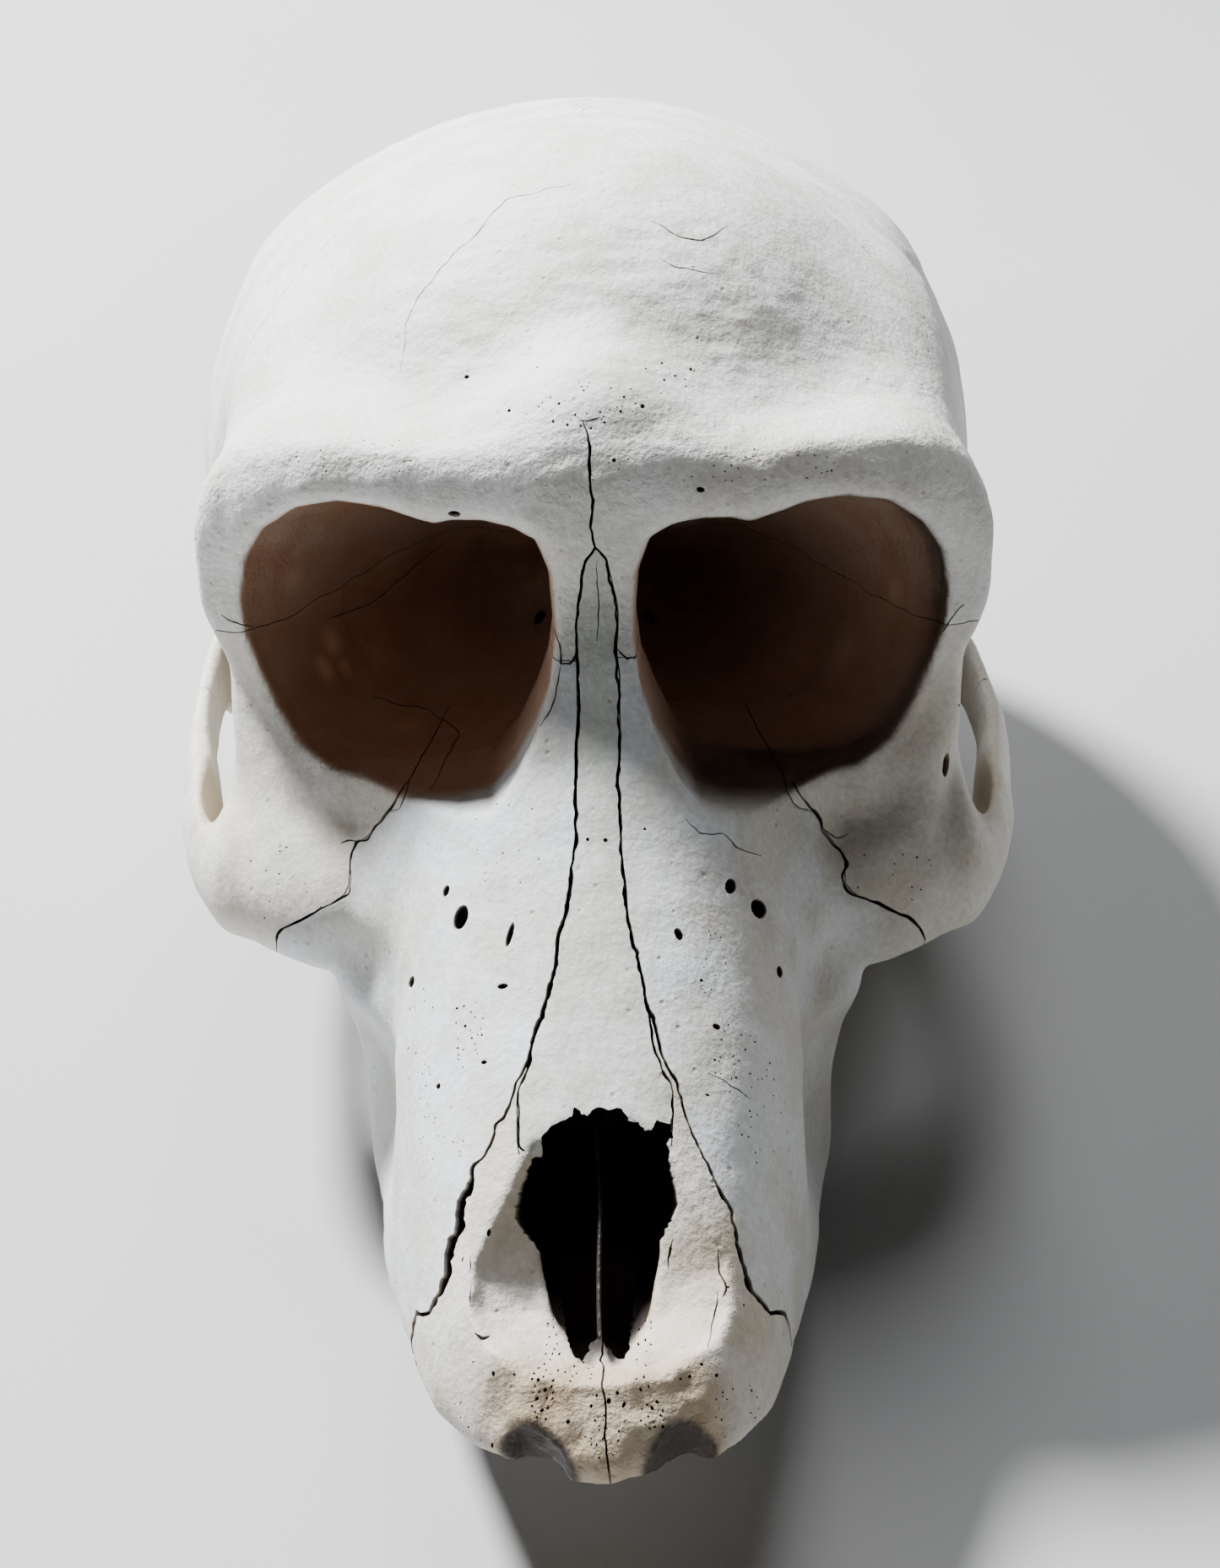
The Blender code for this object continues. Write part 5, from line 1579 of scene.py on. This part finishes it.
poreFields = [   # middle, half sizes, how many, smallest and largest width, stretch, turn
    (643, 1650, 17, 36, 30, 2.6, 4.4, 1.9, 28), (774, 1676, 17, 20, 20, 2.4, 4.2, 1.7, -35),
    (712, 1690, 30, 40, 20, 2.2, 3.6, 1.3, 0), (680, 1625, 26, 14, 12, 2.2, 3.2, 1.5, 20),
    (762, 1600, 12, 50, 14, 2.0, 3.0, 2.4, -20), (655, 1590, 10, 40, 12, 2.0, 3.0, 2.4, 20),
    (556, 1226, 20, 42, 20, 2.0, 3.2, 1.2, 0), (520, 1330, 36, 60, 20, 1.9, 2.8, 1.2, 0),
    (500, 1230, 20, 90, 14, 1.9, 2.7, 1.2, 0), (868, 1250, 30, 44, 18, 1.9, 3.0, 1.6, 40),
    (900, 1320, 26, 70, 22, 1.9, 3.0, 1.4, 30), (840, 1140, 26, 50, 12, 1.9, 2.6, 1.3, 0),
    (700, 480, 70, 30, 26, 1.9, 2.8, 1.1, 0), (800, 440, 40, 30, 10, 1.9, 2.8, 1.1, 0),
    (690, 560, 60, 40, 14, 1.9, 2.5, 1.1, 0), (420, 545, 90, 30, 24, 1.9, 2.5, 1.6, 80),
    (900, 555, 100, 30, 26, 1.9, 2.5, 1.6, 100), (600, 1000, 50, 60, 10, 1.9, 2.6, 1.2, 0),
    (540, 1690, 34, 30, 12, 2.0, 3.2, 1.2, 0), (870, 1670, 34, 34, 14, 2.0, 3.2, 1.2, 0),
    (340, 1050, 60, 50, 12, 1.9, 2.6, 1.3, 50), (1060, 1040, 50, 44, 12, 1.9, 2.6, 1.3, 130),
]
holeShape = {   # the first two have a number for big holes, small ones and pores
    "wide": (1.0, 0.8, 0.62), "depth": (0.8, 0.6, 0.3), "deepest": 3.0, "apart": 1.2,
    "Sides": 14, "Floor": 0.45, "Ragged": 0.14, "Seed": 3,
}


def scatterPores():
    rng = np.random.default_rng(81)
    fixed = [(x, y, max(w, h)) for x, y, w, h, _ in bigHoles + smallHoles]
    found = []
    for x, y, halfX, halfY, count, small, large, stretch, turn in poreFields:
        for _ in range(count * 4):
            angle, out = rng.uniform(0, 2 * math.pi), math.sqrt(rng.uniform(0, 1))
            place = (x + halfX * out * math.cos(angle), y + halfY * out * math.sin(angle))
            width = small + (large - small) * rng.uniform(0, 1) ** 2.2
            tall = width * (1 + (stretch - 1) * rng.uniform(0.3, 1))
            apart = holeShape["apart"]
            if all(math.hypot(place[0] - a, place[1] - b) > (tall + c) / 2 * apart + 1 for a, b, c in fixed):
                fixed.append((*place, tall))
                found.append((*place, width, tall, turn + rng.normal(0, 14)))
                count -= 1
            if count == 0:
                break
    return found


def holeTree():
    tree = bpy.data.node_groups.new("holes", "GeometryNodeTree")
    newSocket(tree, "Geometry", "NodeSocketGeometry")
    for name, kind in (("Sides", "Int"), ("Floor", "Float"), ("Ragged", "Float"), ("Seed", "Int")):
        newSocket(tree, name, "NodeSocket" + kind, holeShape[name])
    newSocket(tree, "Finish", "NodeSocketMaterial")
    newSocket(tree, "Geometry", "NodeSocketGeometry", out=True)
    given = addNode(tree, "NodeGroupInput", (-6, 0)).outputs
    cone = addNode(tree, "GeometryNodeMeshCone", (-4, 1), {"fill_type": "TRIANGLE_FAN"}, {
        "Vertices": given["Sides"], "Side Segments": 3, "Radius Top": given["Floor"],
        "Radius Bottom": 1.0, "Depth": 1.0})
    vector = {"data_type": "FLOAT_VECTOR"}
    size = addNode(tree, "GeometryNodeInputNamedAttribute", (-4, 3), vector, {"Name": "holeSize"})
    turn = addNode(tree, "GeometryNodeInputNamedAttribute", (-4, 4), vector, {"Name": "holeTurn"})
    turned = addNode(tree, "FunctionNodeEulerToRotation", (-3, 4), inputs={
        "Euler": turn.outputs["Attribute"]})
    placed = addNode(tree, "GeometryNodeInstanceOnPoints", (-2, 0), inputs={
        "Points": given["Geometry"], "Instance": cone.outputs["Mesh"],
        "Rotation": turned.outputs["Rotation"], "Scale": size.outputs["Attribute"]})
    real = addNode(tree, "GeometryNodeRealizeInstances", (-1, 0), inputs={
        "Geometry": placed.outputs["Instances"]})
    where = addNode(tree, "GeometryNodeInputPosition", (-3, 6))
    noise = addNode(tree, "ShaderNodeTexNoise", (-2, 6), {"noise_dimensions": "4D"}, {
        "Vector": where.outputs[0], "W": given["Seed"], "Scale": 1.4, "Detail": 1.0})
    middle = addNode(tree, "ShaderNodeVectorMath", (-1, 6), {"operation": "SUBTRACT"})
    feed(tree, middle.inputs, (noise.outputs["Color"], (0.5, 0.5, 0.5)))
    push = addNode(tree, "ShaderNodeVectorMath", (0, 6), {"operation": "SCALE"}, {"Scale": given["Ragged"]})
    tree.links.new(middle.outputs[0], push.inputs[0])
    moved = addNode(tree, "GeometryNodeSetPosition", (0, 0), inputs={
        "Geometry": real.outputs["Geometry"], "Offset": push.outputs[0]})
    painted = addNode(tree, "GeometryNodeSetMaterial", (1, 0), inputs={
        "Geometry": moved.outputs["Geometry"], "Material": given["Finish"]})
    addNode(tree, "NodeGroupOutput", (2, 0), inputs={"Geometry": painted.outputs["Geometry"]})
    return tree


def holeCutter(finish):
    holes = bigHoles + smallHoles + scatterPores()
    centre, ways = onBone([(x, y) for x, y, *_ in holes])
    inward = unit(0.75 * ways - 0.25 * outwardAt(centre))
    reach = np.linalg.norm(centre - cameraAxes()[0], axis=1)
    picture = np.array(cameraAxes()[1])
    sizes, turns, places = [], [], []
    for i, (_, _, width, tall, angle) in enumerate(holes):
        kind = 0 if i < len(bigHoles) else 1 if i < len(bigHoles) + len(smallHoles) else 2
        scale = reach[i] / photoCamera["focal"] * holeShape["wide"][kind]
        deep = min(holeShape["deepest"], holeShape["depth"][kind] + 1.6 * width * scale)
        z = Vector(inward[i])
        x = Vector(picture - inward[i] * float(picture @ inward[i])).normalized()
        y = z.cross(x)
        matrix = Matrix((x, y, z)).transposed() @ Matrix.Rotation(math.radians(angle), 3, "Z")
        turns.append(tuple(matrix.to_euler()))
        lip = 0.2 * deep + 0.3
        sizes.append((width * scale, tall * scale, deep + lip))
        places.append(centre[i] - inward[i] * lip)
    thing = newObject("holes", newMesh("holes", [tuple(place) for place in places], []))
    for name, rows in (("holeSize", sizes), ("holeTurn", turns)):
        layer = thing.data.attributes.new(name, "FLOAT_VECTOR", "POINT")
        layer.data.foreach_set("vector", np.array(rows, np.float32).ravel())
    made = thing.modifiers.new("holes", "NODES")
    made.node_group = holeTree()
    for socket in made.node_group.interface.items_tree:
        if socket.item_type == "SOCKET" and socket.in_out == "INPUT":
            value = {**holeShape, "Finish": finish}.get(socket.name)
            if value is not None:
                made[socket.identifier] = value
    applyModifiers(thing)
    faceOutwards(thing.data)
    print("holes:", len(holes), "with", len(thing.data.polygons), "faces")
    return thing


def main():
    addCamera()
    addLights()
    addFloor()
    whole = makeSkull()
    for number, (routes, depth) in enumerate(crackGroups):
        boolean(whole, crackCutter("cracks" + str(number), routes, crackShape[depth], 100 * number))
        print("cracks cut:", number + 1, "of", len(crackGroups))
    boolean(whole, openingCutter())
    grain, stainAndShade = boneGrainGroup(), boneStainGroup()
    materials = {slot: boneMaterial(slot, grain, stainAndShade) for slot in boneFinishes}
    boolean(whole, holeCutter(materials["face"]))
    nasal = newObject("nasal", whole.data.copy())
    boolean(nasal, nasalBlockObject("nasalBlock", 0.0), "INTERSECT")
    boolean(whole, nasalBlockObject("nasalRoom", nasalBlock["gap"]))
    for cutter in partingCutters():
        boolean(whole, cutter)
    bones = partBones(whole)
    bones["nasal"] = nasal
    bones["vomer"] = vomerObject()
    print("bones parted:", len(bones))
    slots = {name: slot for name, _, slot in boneTable}
    slots["vomer"] = "base"
    for name, bone in bones.items():
        finishBone(bone, slots[name], materials[slots[name]], [nodeOf.get(name, name)])
    print("bones finished:", sum(len(bone.data.polygons) for bone in bones.values()), "faces")


main()
